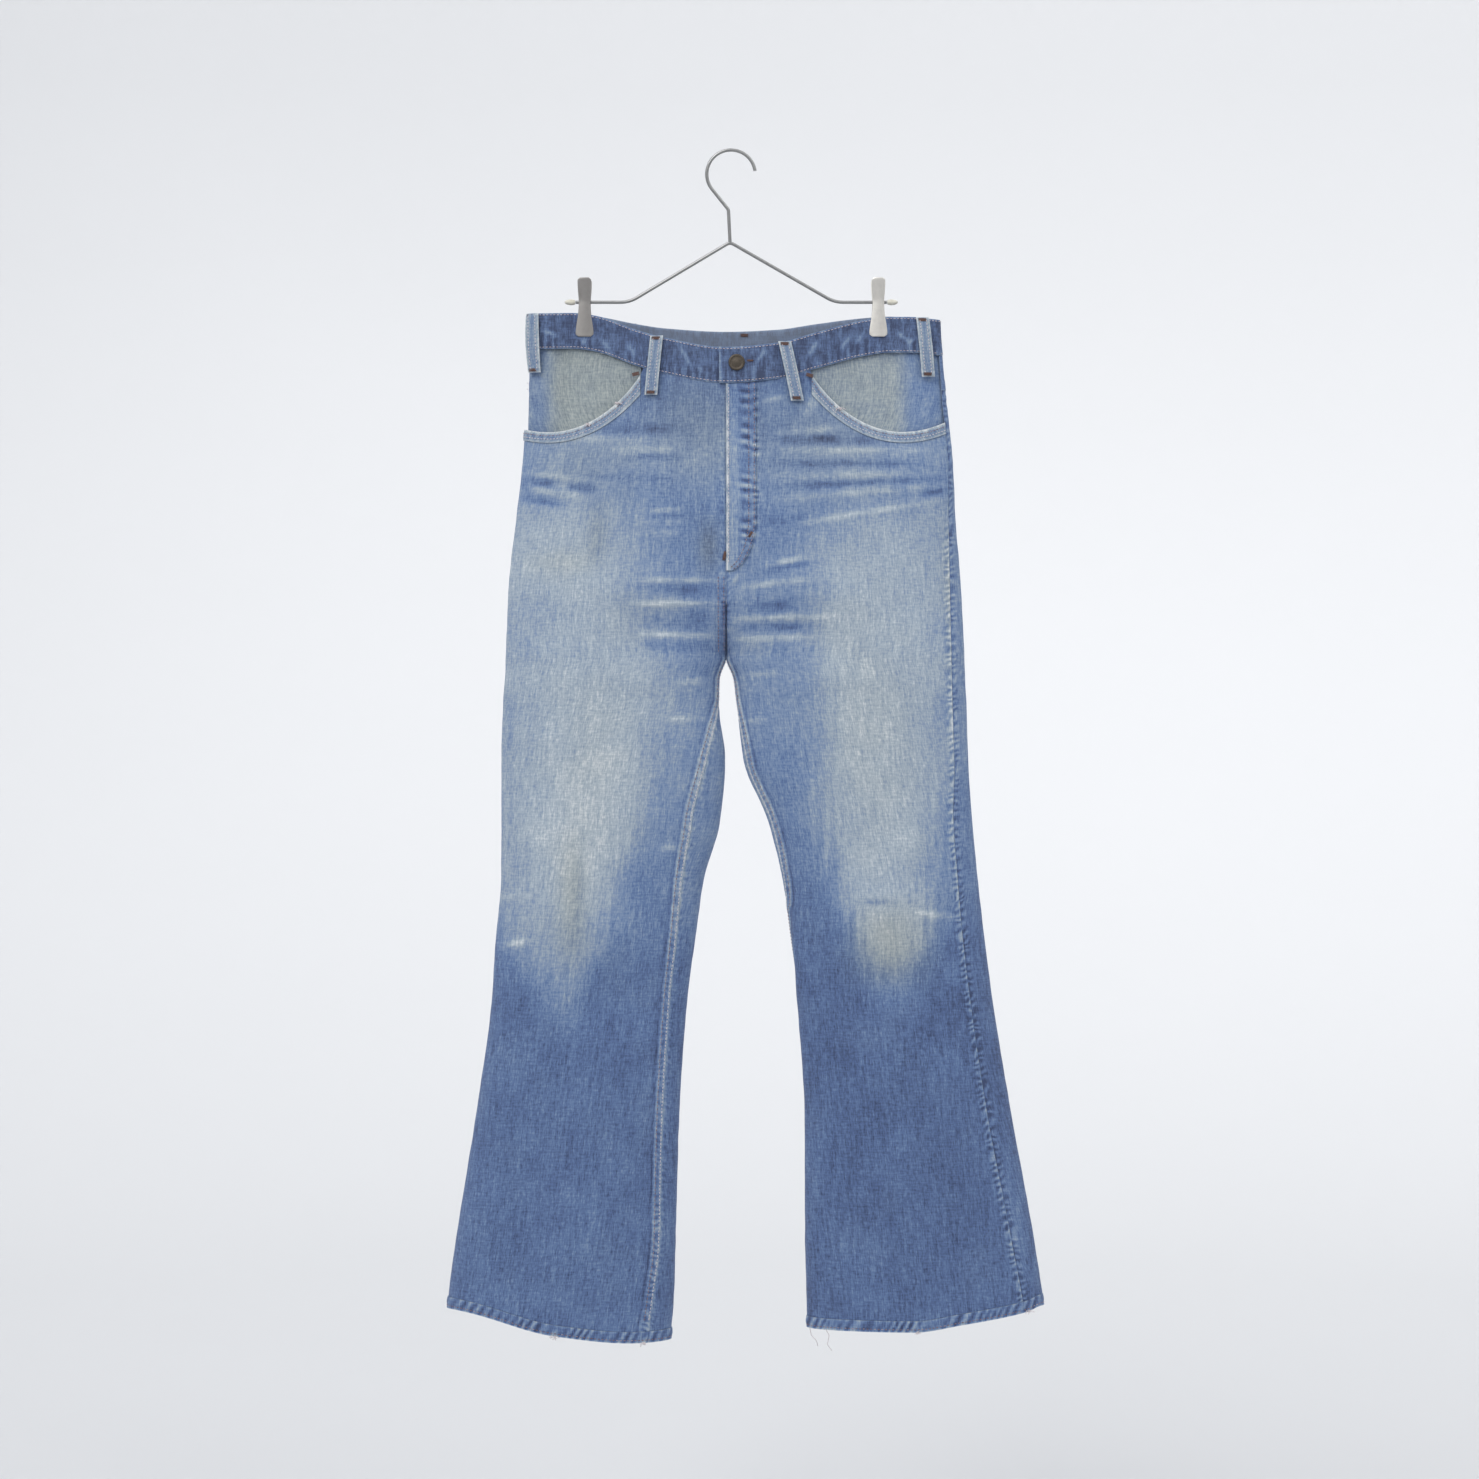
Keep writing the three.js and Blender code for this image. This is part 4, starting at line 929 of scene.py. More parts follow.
# Light creases across the waistband
BAND_CREASES = table(MARK, [
    ("front", -188, 188, -22, 26, 2, 0.4), ("front", -152, 198, -60, 16, 2, 0.3),
    ("front", -130, 199, -48, 26, 2, 0.3), ("front", -103, 205, -60, 28, 2.4, 0.3),
    ("front", -46, 214, -62, 34, 2, 0.45), ("front", -32, 226, -50, 16, 2, 0.3),
    ("front", 30, 214, 58, 28, 2, 0.3), ("front", 84, 205, 60, 28, 2.2, 0.35),
    ("front", 118, 198, 50, 26, 2, 0.35), ("front", 134, 192, 62, 22, 2, 0.3),
    ("front", 178, 192, -40, 26, 2, 0.35), ("front", 188, 196, 30, 18, 2, 0.3),
    ("back", -60, 200, 60, 28, 2.2, 0.3), ("back", 50, 204, -60, 26, 2.2, 0.3),
    ("back", -150, 192, 50, 24, 2, 0.3), ("back", 150, 192, -50, 24, 2, 0.3),
])


def band_strip(name, places, outer_at, inner_at, flat_size, seed, lap_x=None):
    """A length of the waistband. places lists half, turns and side for each stretch of it."""
    v = np.linspace(0, 1, 21)[None, :]
    outers, inners, normals, across, drops = [], [], [], [], []
    for half, turns, is_front in places:
        turn = turns[:, None] + 0 * v
        x = half.point(turns, np.full_like(turns, 204.0))[:, 0][:, None]
        top = band_top(x, is_front)
        drop = top + (BAND_HEIGHT - SEAM_GAP / 2) * v
        from_top, from_foot = drop - top, top + BAND_HEIGHT - drop
        pull = pucker(seed, x, 8.5) * bell(from_foot - 6, 8)
        nip = pucker(seed + 1, x, 7) * bell(from_top - 3, 3.5)
        crease = marks(BAND_CREASES, x, drop, is_front)
        rise = 0.4 * pull + 0.2 * nip + 0.8 * crease - 0.8 * bell(from_top, 1.1)
        rise = rise - 0.45 * bell(from_foot, 0.9) + 0.12 * waves(seed + 2, 30, x, drop)
        outers.append(half.surface(turn, drop, outer_at(x) + rise))
        inners.append(half.surface(turn, drop, inner_at(x) + 0.5 * bell(from_top, 1.1)))
        normals.append(half.normal(turn, drop))
        fade = -0.12 + 0.34 * pull + 0.18 * nip + 1.9 * crease + 0.5 * bell(from_top, 1.3)
        fade = fade + 0.45 * bell(from_foot, 1.5) + 0.09 * waves(seed + 3, 18, x, drop)
        if lap_x is not None:
            fade = fade + 0.6 * bell(x - lap_x, 1.8)
        across.append(fade)
        drops.append(drop)
    outer, inner = np.concatenate(outers), np.concatenate(inners)
    fade, drop = np.concatenate(across), np.concatenate(drops)
    round_, _ = laid_out(outer)
    flat = np.stack([round_, drop], axis=-1)
    make_sheet(name, outer, inner, flat, {"fade": fade, "grey": 0.2}, flat_size, reverse=0.75)
    normal = np.concatenate(normals)
    for row in (1, 19):
        lifted = outer[:, row] + normal[:, row] * 0.2
        JEANS.sew(name, lifted, normal[:, row], "band", 2.6, 1.1)


def make_waistband():
    """Three strips: the two at the front lap at the button. Their ends are read at one level."""
    level = 190.0
    right_end, left_end = (half.edges(True, level)[1] for half in HALVES)
    lap = LEFT.turn_at(LAP_END - 0.3, level, True)
    band_strip("waistband_front_right", [
        (RIGHT, np.linspace(right_end, 0, 90), True), (LEFT, np.linspace(0, lap, 7), True),
    ], lambda x: 0.6, lambda x: -2.4, (0.225, 0.037), 121)
    start = RIGHT.turn_at(float(LAP_START), level, True)
    band_strip("waistband_front_left", [
        (RIGHT, np.linspace(start, 0, 4), True), (LEFT, np.linspace(0, left_end, 100), True),
    ], lambda x: mix(3.1, 0.6, step_up(x, LAP_END, 60)),
        lambda x: mix(0.9, -2.4, step_up(x, LAP_END, 26)), (0.24, 0.037), 124, LAP_START)
    band_strip("waistband_back", [
        (RIGHT, np.linspace(RIGHT.edges(False, level)[0], 1, 100), False),
        (LEFT, np.linspace(1, LEFT.edges(False, level)[0], 100), False),
    ], lambda x: 0.6, lambda x: -2.4, (0.44, 0.037), 127)
    JEANS.tack("waistband_front_left", LEFT, True, 19.5, 218, 3.0, 0, 8, 3)
    for x in (-103, 14, 111):
        half = RIGHT if x < RISE_SEAM_X else LEFT
        drop = float(band_top(x, False)) + 4
        JEANS.tack("waistband_back", half, False, x, drop, -2.9, 0, 9, 5)


BELT_LOOPS = [(True, -204, 2, 0.7), (True, -76, -6, 1.7), (True, 55, 13, 1.7),
              (True, 197, 6, 0.7), (False, 110, 3, 0.7), (False, 6, 0, 0.7),
              (False, -104, -3, 0.7)]


def make_loop(number, sizes):
    """A loop stands off the band and comes back to the cloth at its top and its foot."""
    is_front, x, lean, foot = BELT_LOOPS[number - 1]
    half = RIGHT if x < RISE_SEAM_X else LEFT
    name = f"belt_loop_{number}"
    v = np.linspace(0, 1, 49)[None, :]
    across = np.linspace(-1, 1, 13)[:, None]
    drop = band_top(np.array(float(x)), is_front) + LOOP_LENGTH * v
    centre = half.turn_at(x + lean * v, drop, is_front)
    way = half.side * (1 if is_front else -1)
    width = sizes.loop_width / MM / 2
    turn = half.further(centre + 0 * across, drop + 0 * across, way * across * width)
    stand = 2.4 * np.clip(np.sin(np.pi * v), 0, 1) ** 0.6
    seat = mix(1.2, foot, step_up(v, 0.55, 0.95))
    rope = pucker(131 + number, LOOP_LENGTH * v + 3 * across, 6) * bell(np.abs(across) - 0.7, 0.3)
    edge = 1 - np.abs(across)
    ends = np.minimum(v, 1 - v) * LOOP_LENGTH
    top_fold = bell(ends - 3, 3)
    rise = 1.6 + 0.2 * rope - 0.5 * bell(edge, 0.1) + 0.25 * top_fold - 0.3 * bell(across, 0.2)
    drop = drop + 0 * across
    outer = half.surface(turn, drop, seat + stand + rise)
    inner = half.surface(turn, drop, seat + stand + 0 * across)
    fade = 0.62 + 0.5 * bell(edge, 0.2) + 0.15 * rope + 0.3 * bell(ends, 1.5)
    fade = fade - 0.22 * bell(across, 0.3)
    flat = np.stack([across * width + 0 * v, LOOP_LENGTH * v + 0 * across], axis=-1)
    make_sheet(name, outer, inner, flat, {"fade": fade, "grey": 0.3}, (0.013, 0.062))
    normal = half.normal(turn, drop)
    for column in (3, 9):
        points = outer[column, 2:-2] + normal[column, 2:-2] * 0.1
        JEANS.sew(name, points, normal[column, 2:-2], "seam", 2.2, 1.1)
    for row in (2, 46):
        for k in range(5):
            at = row + (k - 2) * 0.5
            low = int(at)
            line = mix(outer[1:-1, low], outer[1:-1, low + 1], at - low)
            ends_of = line[[0, -1]] + normal[1:-1, row][[0, -1]] * 0.25
            JEANS.sew(name, ends_of, normal[1:-1, row][[0, -1]], "tack", 9.8, 0.2)


def thread_mesh(name, rows):
    """Stitches joined into one mesh, each a short thread that dips into the cloth at its ends.
    Where a row's length is that of its line, it is one thread."""
    chance = np.random.default_rng(5)
    starts, ends, normals, tones, widths = [], [], [], [], []
    tone_of = {"seam": 0.0, "band": 0.28, "fly": 0.5, "tack": 1.0}
    for points, normal, kind, length, gap in rows:
        steps = np.linalg.norm(np.diff(points, axis=0), axis=-1)
        walk = np.concatenate([[0], np.cumsum(steps)])
        first = np.arange(0.1, walk[-1] - length, length + gap)
        for at, out in ((first, starts), (first + length, ends)):
            out.append(np.stack([np.interp(at, walk, points[:, k]) for k in range(3)], axis=-1))
        middle = first + length / 2
        normals.append(np.stack([np.interp(middle, walk, normal[:, k]) for k in range(3)], -1))
        tones.append(np.full(len(first), tone_of[kind]) + chance.uniform(-0.1, 0.1, len(first)))
        widths.append(np.full(len(first), 0.36 if kind == "tack" else 0.42))
    start, end = np.concatenate(starts), np.concatenate(ends)
    normal, tone = np.concatenate(normals), np.concatenate(tones)
    width = np.concatenate(widths)[:, None]
    along = end - start
    side = np.cross(along, normal)
    side /= np.linalg.norm(side, axis=-1, keepdims=True)
    rings = [(0.0, 0.0, -0.25), (0.14, 0.8, 0.05), (0.5, 1.0, 0.22), (0.86, 0.8, 0.05),
             (1.0, 0.0, -0.25)]
    points = []
    for share, size, lift in rings:
        centre = start + along * share + normal * lift
        if size == 0:
            points.append(centre)
            continue
        for k in range(5):
            angle = 2 * math.pi * k / 5
            outwards = side * math.cos(angle) + normal * math.sin(angle)
            points.append(centre + width * size * outwards)
    points = np.stack(points, axis=1)
    faces = [(0, 1 + (k + 1) % 5, 1 + k) for k in range(5)]
    for ring in (1, 6):
        for k in range(5):
            a, b = ring + k, ring + (k + 1) % 5
            faces += [(a, b, b + 5), (a, b + 5, a + 5)]
    faces += [(16, 11 + k, 11 + (k + 1) % 5) for k in range(5)]
    count = len(start)
    index = np.array(faces)[None] + (np.arange(count) * 17)[:, None, None]
    mesh = bpy.data.meshes.new(name)
    mesh.from_pydata((points.reshape(-1, 3) * MM).tolist(), [], index.reshape(-1, 3).tolist())
    mesh.update()
    attribute = mesh.attributes.new("tone", "FLOAT", "POINT")
    attribute.data.foreach_set("value", np.repeat(tone, 17))
    piece = bpy.data.objects.new(name, mesh)
    bpy.context.collection.objects.link(piece)
    for polygon in mesh.polygons:
        polygon.use_smooth = True
    return piece


class Paint:
    """A material's nodes."""

    def __init__(self, name):
        self.material = bpy.data.materials.new(name)
        self.material.use_nodes = True
        self.tree = self.material.node_tree
        self.shader = self.tree.nodes["Principled BSDF"]

    def node(self, kind, settings=None, **inputs):
        """A node of that kind, with its settings first and then its sockets, by name or place."""
        node = self.tree.nodes.new("ShaderNode" + kind)
        for key, value in (settings or {}).items():
            if key == "stops":
                while len(node.color_ramp.elements) < len(value):
                    node.color_ramp.elements.new(0.5)
                for element, (place, shade) in zip(node.color_ramp.elements, value):
                    element.position, element.color = place, (*shade, 1)
            else:
                setattr(node, key, value)
        for key, value in inputs.items():
            place = int(key[1:]) if key[1:].isdigit() else key.replace("_", " ")
            self.feed(node.inputs[place], value)
        return node

    def feed(self, socket, value):
        if isinstance(value, Socket):
            self.tree.links.new(value.socket, socket)
        elif isinstance(value, bpy.types.NodeSocket):
            self.tree.links.new(value, socket)
        else:
            socket.default_value = value

    def number(self, node, name="Fac"):
        return Socket(self, node.outputs[name])

    def attribute(self, name):
        return self.number(self.node("Attribute", {"attribute_name": name}))

    def noise(self, vector, scale, detail=2.0, roughness=0.5):
        return self.number(self.node("TexNoise", Vector=vector, Scale=scale, Detail=detail,
                                     Roughness=roughness))

    def stretched(self, vector, size):
        """A vector scaled by another, for patterns that run one way."""
        node = self.node("VectorMath", {"operation": "MULTIPLY"}, _0=vector, _1=size)
        return node.outputs["Vector"]

    def blend(self, share, a, b):
        """A colour between a and b."""
        node = self.node("Mix", {"data_type": "RGBA"}, _0=share, _6=a, _7=b)
        return node.outputs[2]

    def finish(self, **sockets):
        for key, value in sockets.items():
            self.feed(self.shader.inputs[key.replace("_", " ")], value)
        return self.material

    def bump(self, height, distance, strength=1.0):
        node = self.node("Bump", Height=height, Distance=distance, Strength=strength)
        return node.outputs["Normal"]


class Socket:
    """A number in a shader, which takes part in Python expressions."""

    def __init__(self, paint, socket):
        self.paint, self.socket = paint, socket

    def math(self, operation, *values):
        inputs = {f"_{i}": value for i, value in enumerate(values)}
        node = self.paint.node("Math", {"operation": operation}, **inputs)
        return Socket(self.paint, node.outputs[0])

    def __add__(self, other):
        return self.math("ADD", self, other)

    def __sub__(self, other):
        return self.math("SUBTRACT", self, other)

    def __rsub__(self, other):
        return self.math("SUBTRACT", other, self)

    def __mul__(self, other):
        return self.math("MULTIPLY", self, other)

    def sine(self):
        return self.math("SINE", self)

    def clamped(self):
        return self.math("MAXIMUM", self.math("MINIMUM", self, 1.0), 0.0)

    __radd__ = __add__
    __rmul__ = __mul__


def colour(red, green, blue):
    """A colour as it looks on screen, from 0 to 255, as the linear one that Blender takes."""
    parts = [c / 255 for c in (red, green, blue)]
    return tuple(c / 12.92 if c < 0.04045 else ((c + 0.055) / 1.055) ** 2.4 for c in parts)


def denim(name, looks):
    paint = Paint(name)
    weave = paint.node("UVMap", {"uv_map": "weave"}).outputs["UV"]
    place = paint.node("TexCoord").outputs["Object"]
    slubs = paint.noise(paint.stretched(weave, (400, 36, 1)), 1.0, 3.0, 0.6)
    fine = paint.noise(paint.stretched(weave, (950, 170, 1)), 1.0, 2.0, 0.6)
    weft = paint.noise(paint.stretched(weave, (110, 520, 1)), 1.0, 2.0, 0.6)
    cloud = paint.noise(place, 26.0, 4.0, 0.6)
    uneven = (slubs - 0.5) * 0.8 + (fine - 0.5) * 0.95 + (weft - 0.5) * 0.6 + (cloud - 0.5) * 0.2
    parts = paint.node("SeparateXYZ", Vector=weave)
    across, down = paint.number(parts, "X"), paint.number(parts, "Y")
    drift = paint.noise(paint.stretched(weave, (30, 36, 1)), 1.0, 2.0)
    pulls = (down * 780 + across * 300 + drift * 30).sine()
    fade = paint.attribute("fade") + uneven * looks.unevenness + paint.attribute("pulled") * pulls
    level = fade * 0.6 + 0.2
    stops = [(0.0, colour(55, 69, 103)), (0.2, colour(80, 101, 143)),
             (0.35, colour(97, 122, 162)),
             (0.5, colour(122, 143, 174)), (0.65, colour(149, 163, 180)),
             (0.8, colour(168, 181, 192)), (1.0, colour(208, 213, 216))]
    blue = paint.node("ValToRGB", {"stops": stops}, Fac=level.clamped()).outputs["Color"]
    greys = [(0.0, colour(68, 74, 86)), (0.35, colour(110, 121, 130)),
             (0.6, colour(146, 155, 156)), (0.8, colour(170, 176, 174)),
             (1.0, colour(208, 209, 204))]
    grey = paint.node("ValToRGB", {"stops": greys}, Fac=level.clamped()).outputs["Color"]
    shade = paint.blend((paint.attribute("grey") + (cloud - 0.5) * 0.3).clamped(), blue, grey)
    inside = paint.attribute("inside")
    shade = paint.blend(inside * 0.55, shade, (*colour(150, 160, 172), 1))
    twill = ((across + down * 0.9) * (2 * math.pi / 0.0013)).sine()
    height = twill * 0.35 + slubs * 1.2 + fine * 0.8 + weft * 0.5
    return paint.finish(Base_Color=shade, Roughness=0.92, Sheen_Weight=0.12, Sheen_Roughness=0.6,
                        Normal=paint.bump(height, 0.00035, looks.weave_relief))


def thread(name):
    paint = Paint(name)
    tone = paint.attribute("tone")
    place = paint.node("TexCoord").outputs["Object"]
    mottled = paint.noise(place, 900.0, 2.0)
    stops = [(0.0, colour(212, 204, 206)), (0.3, colour(196, 186, 190)),
             (0.5, colour(136, 112, 118)), (0.75, colour(110, 86, 82)), (1.0, colour(102, 78, 72))]
    shade = paint.node("ValToRGB", {"stops": stops}, Fac=(tone + (mottled - 0.5) * 0.3).clamped())
    twist = paint.noise(place, 2600.0, 1.0)
    return paint.finish(Base_Color=shade.outputs["Color"], Roughness=0.75,
                        Normal=paint.bump(twist, 0.0001, 0.5))


def metal(name, base, dark, roughness, metallic=1.0, scale=300.0):
    paint = Paint(name)
    place = paint.node("TexCoord").outputs["Object"]
    cloud = paint.noise(place, scale, 4.0, 0.6)
    fine = paint.noise(paint.stretched(place, (400, 400, 3000)), 1.0, 2.0)
    shade = paint.blend(cloud, (*dark, 1), (*base, 1))
    return paint.finish(Base_Color=shade, Metallic=metallic,
                        Roughness=(cloud - 0.5) * 0.3 + (fine - 0.5) * 0.12 + roughness,
                        Normal=paint.bump(fine * 0.4 + cloud, 0.0001, 0.35))


def clear_tip(name):
    paint = Paint(name)
    place = paint.node("TexCoord").outputs["Object"]
    cloud = paint.noise(place, 240.0, 3.0)
    shade = paint.blend(cloud, (*colour(196, 190, 172), 1), (*colour(222, 220, 208), 1))
    return paint.finish(Base_Color=shade, Roughness=0.34 + 0.1 * (cloud - 0.5), Coat_Weight=0.2)


MATERIALS = {}


def painted(piece, key, make, *values):
    """Gives a piece its material, which is made once."""
    if key not in MATERIALS:
        MATERIALS[key] = make(key, *values)
    piece.data.materials.clear()
    piece.data.materials.append(MATERIALS[key])


def place_piece(piece, slot, *nodes):
    """Says which body a piece rides and the solids that it replaces; the slot is not used."""
    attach(piece, "root")
    if nodes:
        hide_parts(*nodes)
    return piece


def place_steel(piece, looks, node):
    painted(piece, "satin steel", metal, looks.steel, colour(136, 136, 136), 0.36)
    place_piece(piece, "steel", node)


def start_piece(add, name, **how):
    """Adds a primitive with nothing else selected, and opens it in edit mode."""
    bpy.ops.object.select_all(action="DESELECT")
    add(**how)
    piece = bpy.context.active_object
    piece.name = piece.data.name = name
    bpy.ops.object.mode_set(mode="EDIT")
    bpy.ops.mesh.select_all(action="SELECT")
    return piece


def close_piece(piece, angle=40):
    """Leaves edit mode with doubles merged and faces out, and puts the place in the mesh."""
    bpy.ops.mesh.select_all(action="SELECT")
    bpy.ops.mesh.remove_doubles(threshold=1e-6)
    bpy.ops.mesh.normals_make_consistent(inside=False)
    bpy.ops.object.mode_set(mode="OBJECT")
    bpy.ops.object.transform_apply(location=True, rotation=True, scale=True)
    bpy.ops.object.shade_smooth_by_angle(angle=math.radians(angle))
    return piece


def apply_modifier(piece, kind, **settings):
    modifier = piece.modifiers.new(kind.title(), kind)
    for key, value in settings.items():
        setattr(modifier, key, value)
    bpy.context.view_layer.objects.active = piece
    bpy.ops.object.modifier_apply(modifier=modifier.name)


def turned(name, rings, place, rotation, sides):
    """A turned piece, from rings of radius and height in millimetres."""
    (radius, height), *others = rings
    piece = start_piece(bpy.ops.mesh.primitive_circle_add, name, vertices=sides,
                        radius=radius * MM, fill_type="NGON", location=(0, 0, height * MM))
    for new_radius, new_height in others:
        rise = (0, 0, (new_height - height) * MM)
        bpy.ops.mesh.extrude_region_move(TRANSFORM_OT_translate={"value": rise})
        size = new_radius / radius
        bpy.ops.transform.resize(value=(size, size, 1), center_override=(0, 0, 0))
        radius, height = new_radius, new_height
    piece.location = [c * MM for c in place]
    piece.rotation_euler = rotation
    return close_piece(piece)


def bent_wire(name, x, z, heading, moves, radius):
    """Wire in the plane of the arms, from moves in millimetres and degrees: a straight run, or
    a bend of a radius through an angle, to the left where positive."""
    turn = math.radians(heading)
    piece = start_piece(bpy.ops.mesh.primitive_circle_add, name, vertices=16, radius=radius,
                        fill_type="NGON", location=(x * MM, 0, z * MM),
                        rotation=(0, math.pi / 2 - turn, 0))
    for kind, *how in moves:
        along = (math.cos(turn), math.sin(turn))
        if kind == "run":
            step = (along[0] * how[0] * MM, 0, along[1] * how[0] * MM)
            bpy.ops.mesh.extrude_region_move(TRANSFORM_OT_translate={"value": step})
            x, z = x + along[0] * how[0], z + along[1] * how[0]
            continue
        bend, angle = how
        side = math.copysign(1, angle)
        centre = (x - along[1] * bend * side, z + along[0] * bend * side)
        sweep = math.radians(angle)
        bpy.ops.mesh.spin(steps=max(4, round(abs(angle) / 6)), angle=sweep, axis=(0, 1, 0),
                          center=(centre[0] * MM, 0, centre[1] * MM))
        dx, dz = x - centre[0], z - centre[1]
        x = centre[0] + dx * math.cos(sweep) - dz * math.sin(sweep)
        z = centre[1] + dx * math.sin(sweep) + dz * math.cos(sweep)
        turn += sweep
    return close_piece(piece, 60)


GRIP = table(("drop", "half", "out"), [
    (131, 6.6, 8.6), (134, 7.2, 8.3), (143, 6.9, 6.8), (155.5, 6.1, 5), (166, 6.5, 5.2),
    (180, 8.6, 5.2), (188, 9.4, 5.2), (191.6, 8.8, 5.4),
])


def choose(piece, test):
    """Selects the vertices in edit mode whose place passes a test."""
    bpy.ops.mesh.select_all(action="DESELECT")
    bpy.ops.object.mode_set(mode="OBJECT")
    for vertex in piece.data.vertices:
        vertex.select = test(vertex.co)
    bpy.ops.object.mode_set(mode="EDIT")


def grip_plate(name, clip_x, is_front):
    """A pressed plate: a flat grid whose rows are drawn to the clip's width and depth."""
    first, last = GRIP["drop"][0], GRIP["drop"][-1]
    rows, columns = 30, 10
    piece = start_piece(bpy.ops.mesh.primitive_grid_add, name, x_subdivisions=columns,
                        y_subdivisions=rows, size=1, location=(0, 0, 0))
    bpy.ops.mesh.select_mode(type="VERT")
    side = -1 if is_front else 1
    for row in range(rows + 1):
        level = row / rows
        drop = mix(last, first, level)
        round_off = 1 - 0.28 * (bell(drop - last, 1.1) + bell(drop - first, 1.1))
        half = float(read(GRIP, "drop", "half", drop)) * round_off
        out = float(read(GRIP, "drop", "out", drop))
        choose(piece, lambda co: abs(co.y - (level - 0.5)) < 1e-4 and abs(co.x) < 0.51)
        bpy.ops.transform.resize(value=(2 * half * MM, 1, 1), center_override=(0, 0, 0))
        step = (0, (-drop * MM) - (level - 0.5), out * side * MM)
        bpy.ops.transform.translate(value=step)
    bpy.ops.object.mode_set(mode="OBJECT")
    for vertex in piece.data.vertices:
        x, level, out = vertex.co
        half = float(read(GRIP, "drop", "half", -level / MM)) * MM
        crown = 1.0 * (1 - min(abs(x) / half, 1) ** 2)
        vertex.co = (x + clip_x * MM, out + side * crown * MM, level)
    apply_modifier(piece, "SOLIDIFY", thickness=1.2 * MM, offset=side, use_even_offset=True)
    apply_modifier(piece, "BEVEL", width=0.3 * MM, segments=2, limit_method="ANGLE")
    bpy.ops.object.mode_set(mode="EDIT")
    return close_piece(piece, 50)


def clip_spring(name, clip_x):
    """Six turns of wire round the arm, between the two plates."""
    turns = []
    for i in range(6):
        x = clip_x + (i - 2.5) * 1.3
        piece = start_piece(bpy.ops.mesh.primitive_torus_add, name, major_radius=3.4 * MM,
                            minor_radius=0.68 * MM, major_segments=28, minor_segments=8,
                            location=(x * MM, 0, -ARM_DROP * MM), rotation=(0, math.pi / 2, 0))
        turns.append(close_piece(piece, 70))
    bpy.ops.object.select_all(action="DESELECT")
    for piece in turns:
        piece.select_set(True)
    bpy.context.view_layer.objects.active = turns[0]
    bpy.ops.object.join()
    turns[0].name = turns[0].data.name = name
    return turns[0]


def hanger_moves(corners, bends):
    """Straight runs and bends along a bent line, from its corners and how far from each corner
    its bend begins."""
    moves, headings = [], []
    for (x0, z0), (x1, z1) in zip(corners, corners[1:]):
        headings.append(math.degrees(math.atan2(z1 - z0, x1 - x0)))
    for i, ((x0, z0), (x1, z1)) in enumerate(zip(corners, corners[1:])):
        before = bends[i - 1] if i else 0
        after = bends[i] if i < len(bends) else 0
        moves.append(("run", math.hypot(x1 - x0, z1 - z0) - before - after))
        if i < len(bends):
            angle = headings[i + 1] - headings[i]
            moves.append(("bend", bends[i] / math.tan(math.radians(abs(angle) / 2)), angle))
    return headings[0], moves


class ClothSettings(bpy.types.PropertyGroup):
    cloth_wall: FloatProperty(name="Cloth wall", description="Thickness of the denim",
                              default=0.0013, min=0.0008, max=0.002, unit="LENGTH")
    cell: FloatProperty(name="Cell", description="Size of a panel's mesh cells",
                        default=0.0028, min=0.002, max=0.02, unit="LENGTH")
    loop_width: FloatProperty(name="Loop width", description="Width of a belt loop",
                              default=0.013, min=0.008, max=0.016, unit="LENGTH")


class LooksSettings(bpy.types.PropertyGroup):
    unevenness: FloatProperty(name="Unevenness", description="How much slubs and wear vary",
                              default=1.15, min=0, max=2, subtype="FACTOR")
    weave_relief: FloatProperty(name="Weave relief", description="Strength of the twill",
                                default=0.5, min=0, max=1, subtype="FACTOR")
    # Both clips are the same steel: the right one takes a painted-shade copy of its colour, the
    # left one a painted-light copy.
    plate_shaded: FloatVectorProperty(name="Right clip", description="Colour of the right clip",
                                    subtype="COLOR", default=colour(170, 166, 162), min=0, max=1)
    plate_lit: FloatVectorProperty(name="Left clip", description="Colour of the left clip",
                                    subtype="COLOR", default=colour(236, 232, 224), min=0, max=1)
    steel: FloatVectorProperty(name="Wire", description="Colour of the hanger's wire",
                               subtype="COLOR", default=colour(172, 172, 170), min=0, max=1)
    bronze: FloatVectorProperty(name="Button", description="Colour of the button",
                                subtype="COLOR", default=colour(112, 104, 94), min=0, max=1)


class HangerSettings(bpy.types.PropertyGroup):
    wire_radius: FloatProperty(name="Wire radius", description="Half the wire's thickness",
                               default=0.00175, min=0.001, max=0.003, unit="LENGTH")
    hook_radius: FloatProperty(name="Hook radius", description="Radius of the hook's wire",
                               default=0.025, min=0.02, max=0.03, unit="LENGTH")


class StageSettings(bpy.types.PropertyGroup):
    floor_drop: FloatProperty(name="Floor", description="How far the floor is under the hook",
                              default=1.55, min=1.3, max=3, unit="LENGTH")
    backdrop: FloatVectorProperty(name="Backdrop", description="Colour of floor and backdrop",
                                  subtype="COLOR", default=(0.685, 0.688, 0.697), min=0, max=1)
    key_strength: FloatProperty(name="Key light", description="Strength of the main light",
                                default=1.8, min=0, max=20)
    fill_strength: FloatProperty(name="Fill light", description="Strength of the weaker lights",
                                 default=0.6, min=0, max=20)
    room_strength: FloatProperty(name="Room light", description="Strength of the light all round",
                                 default=0.76, min=0, max=5)


def finish_cloth(context, *nodes, slot="denim"):
    """Paints the cloth made for these nodes, and puts it in their place."""
    for node in nodes:
        piece = JEANS.sheets[node][0]
        painted(piece, "worn denim", denim, context.scene.jeans_looks)
        place_piece(piece, slot, node)


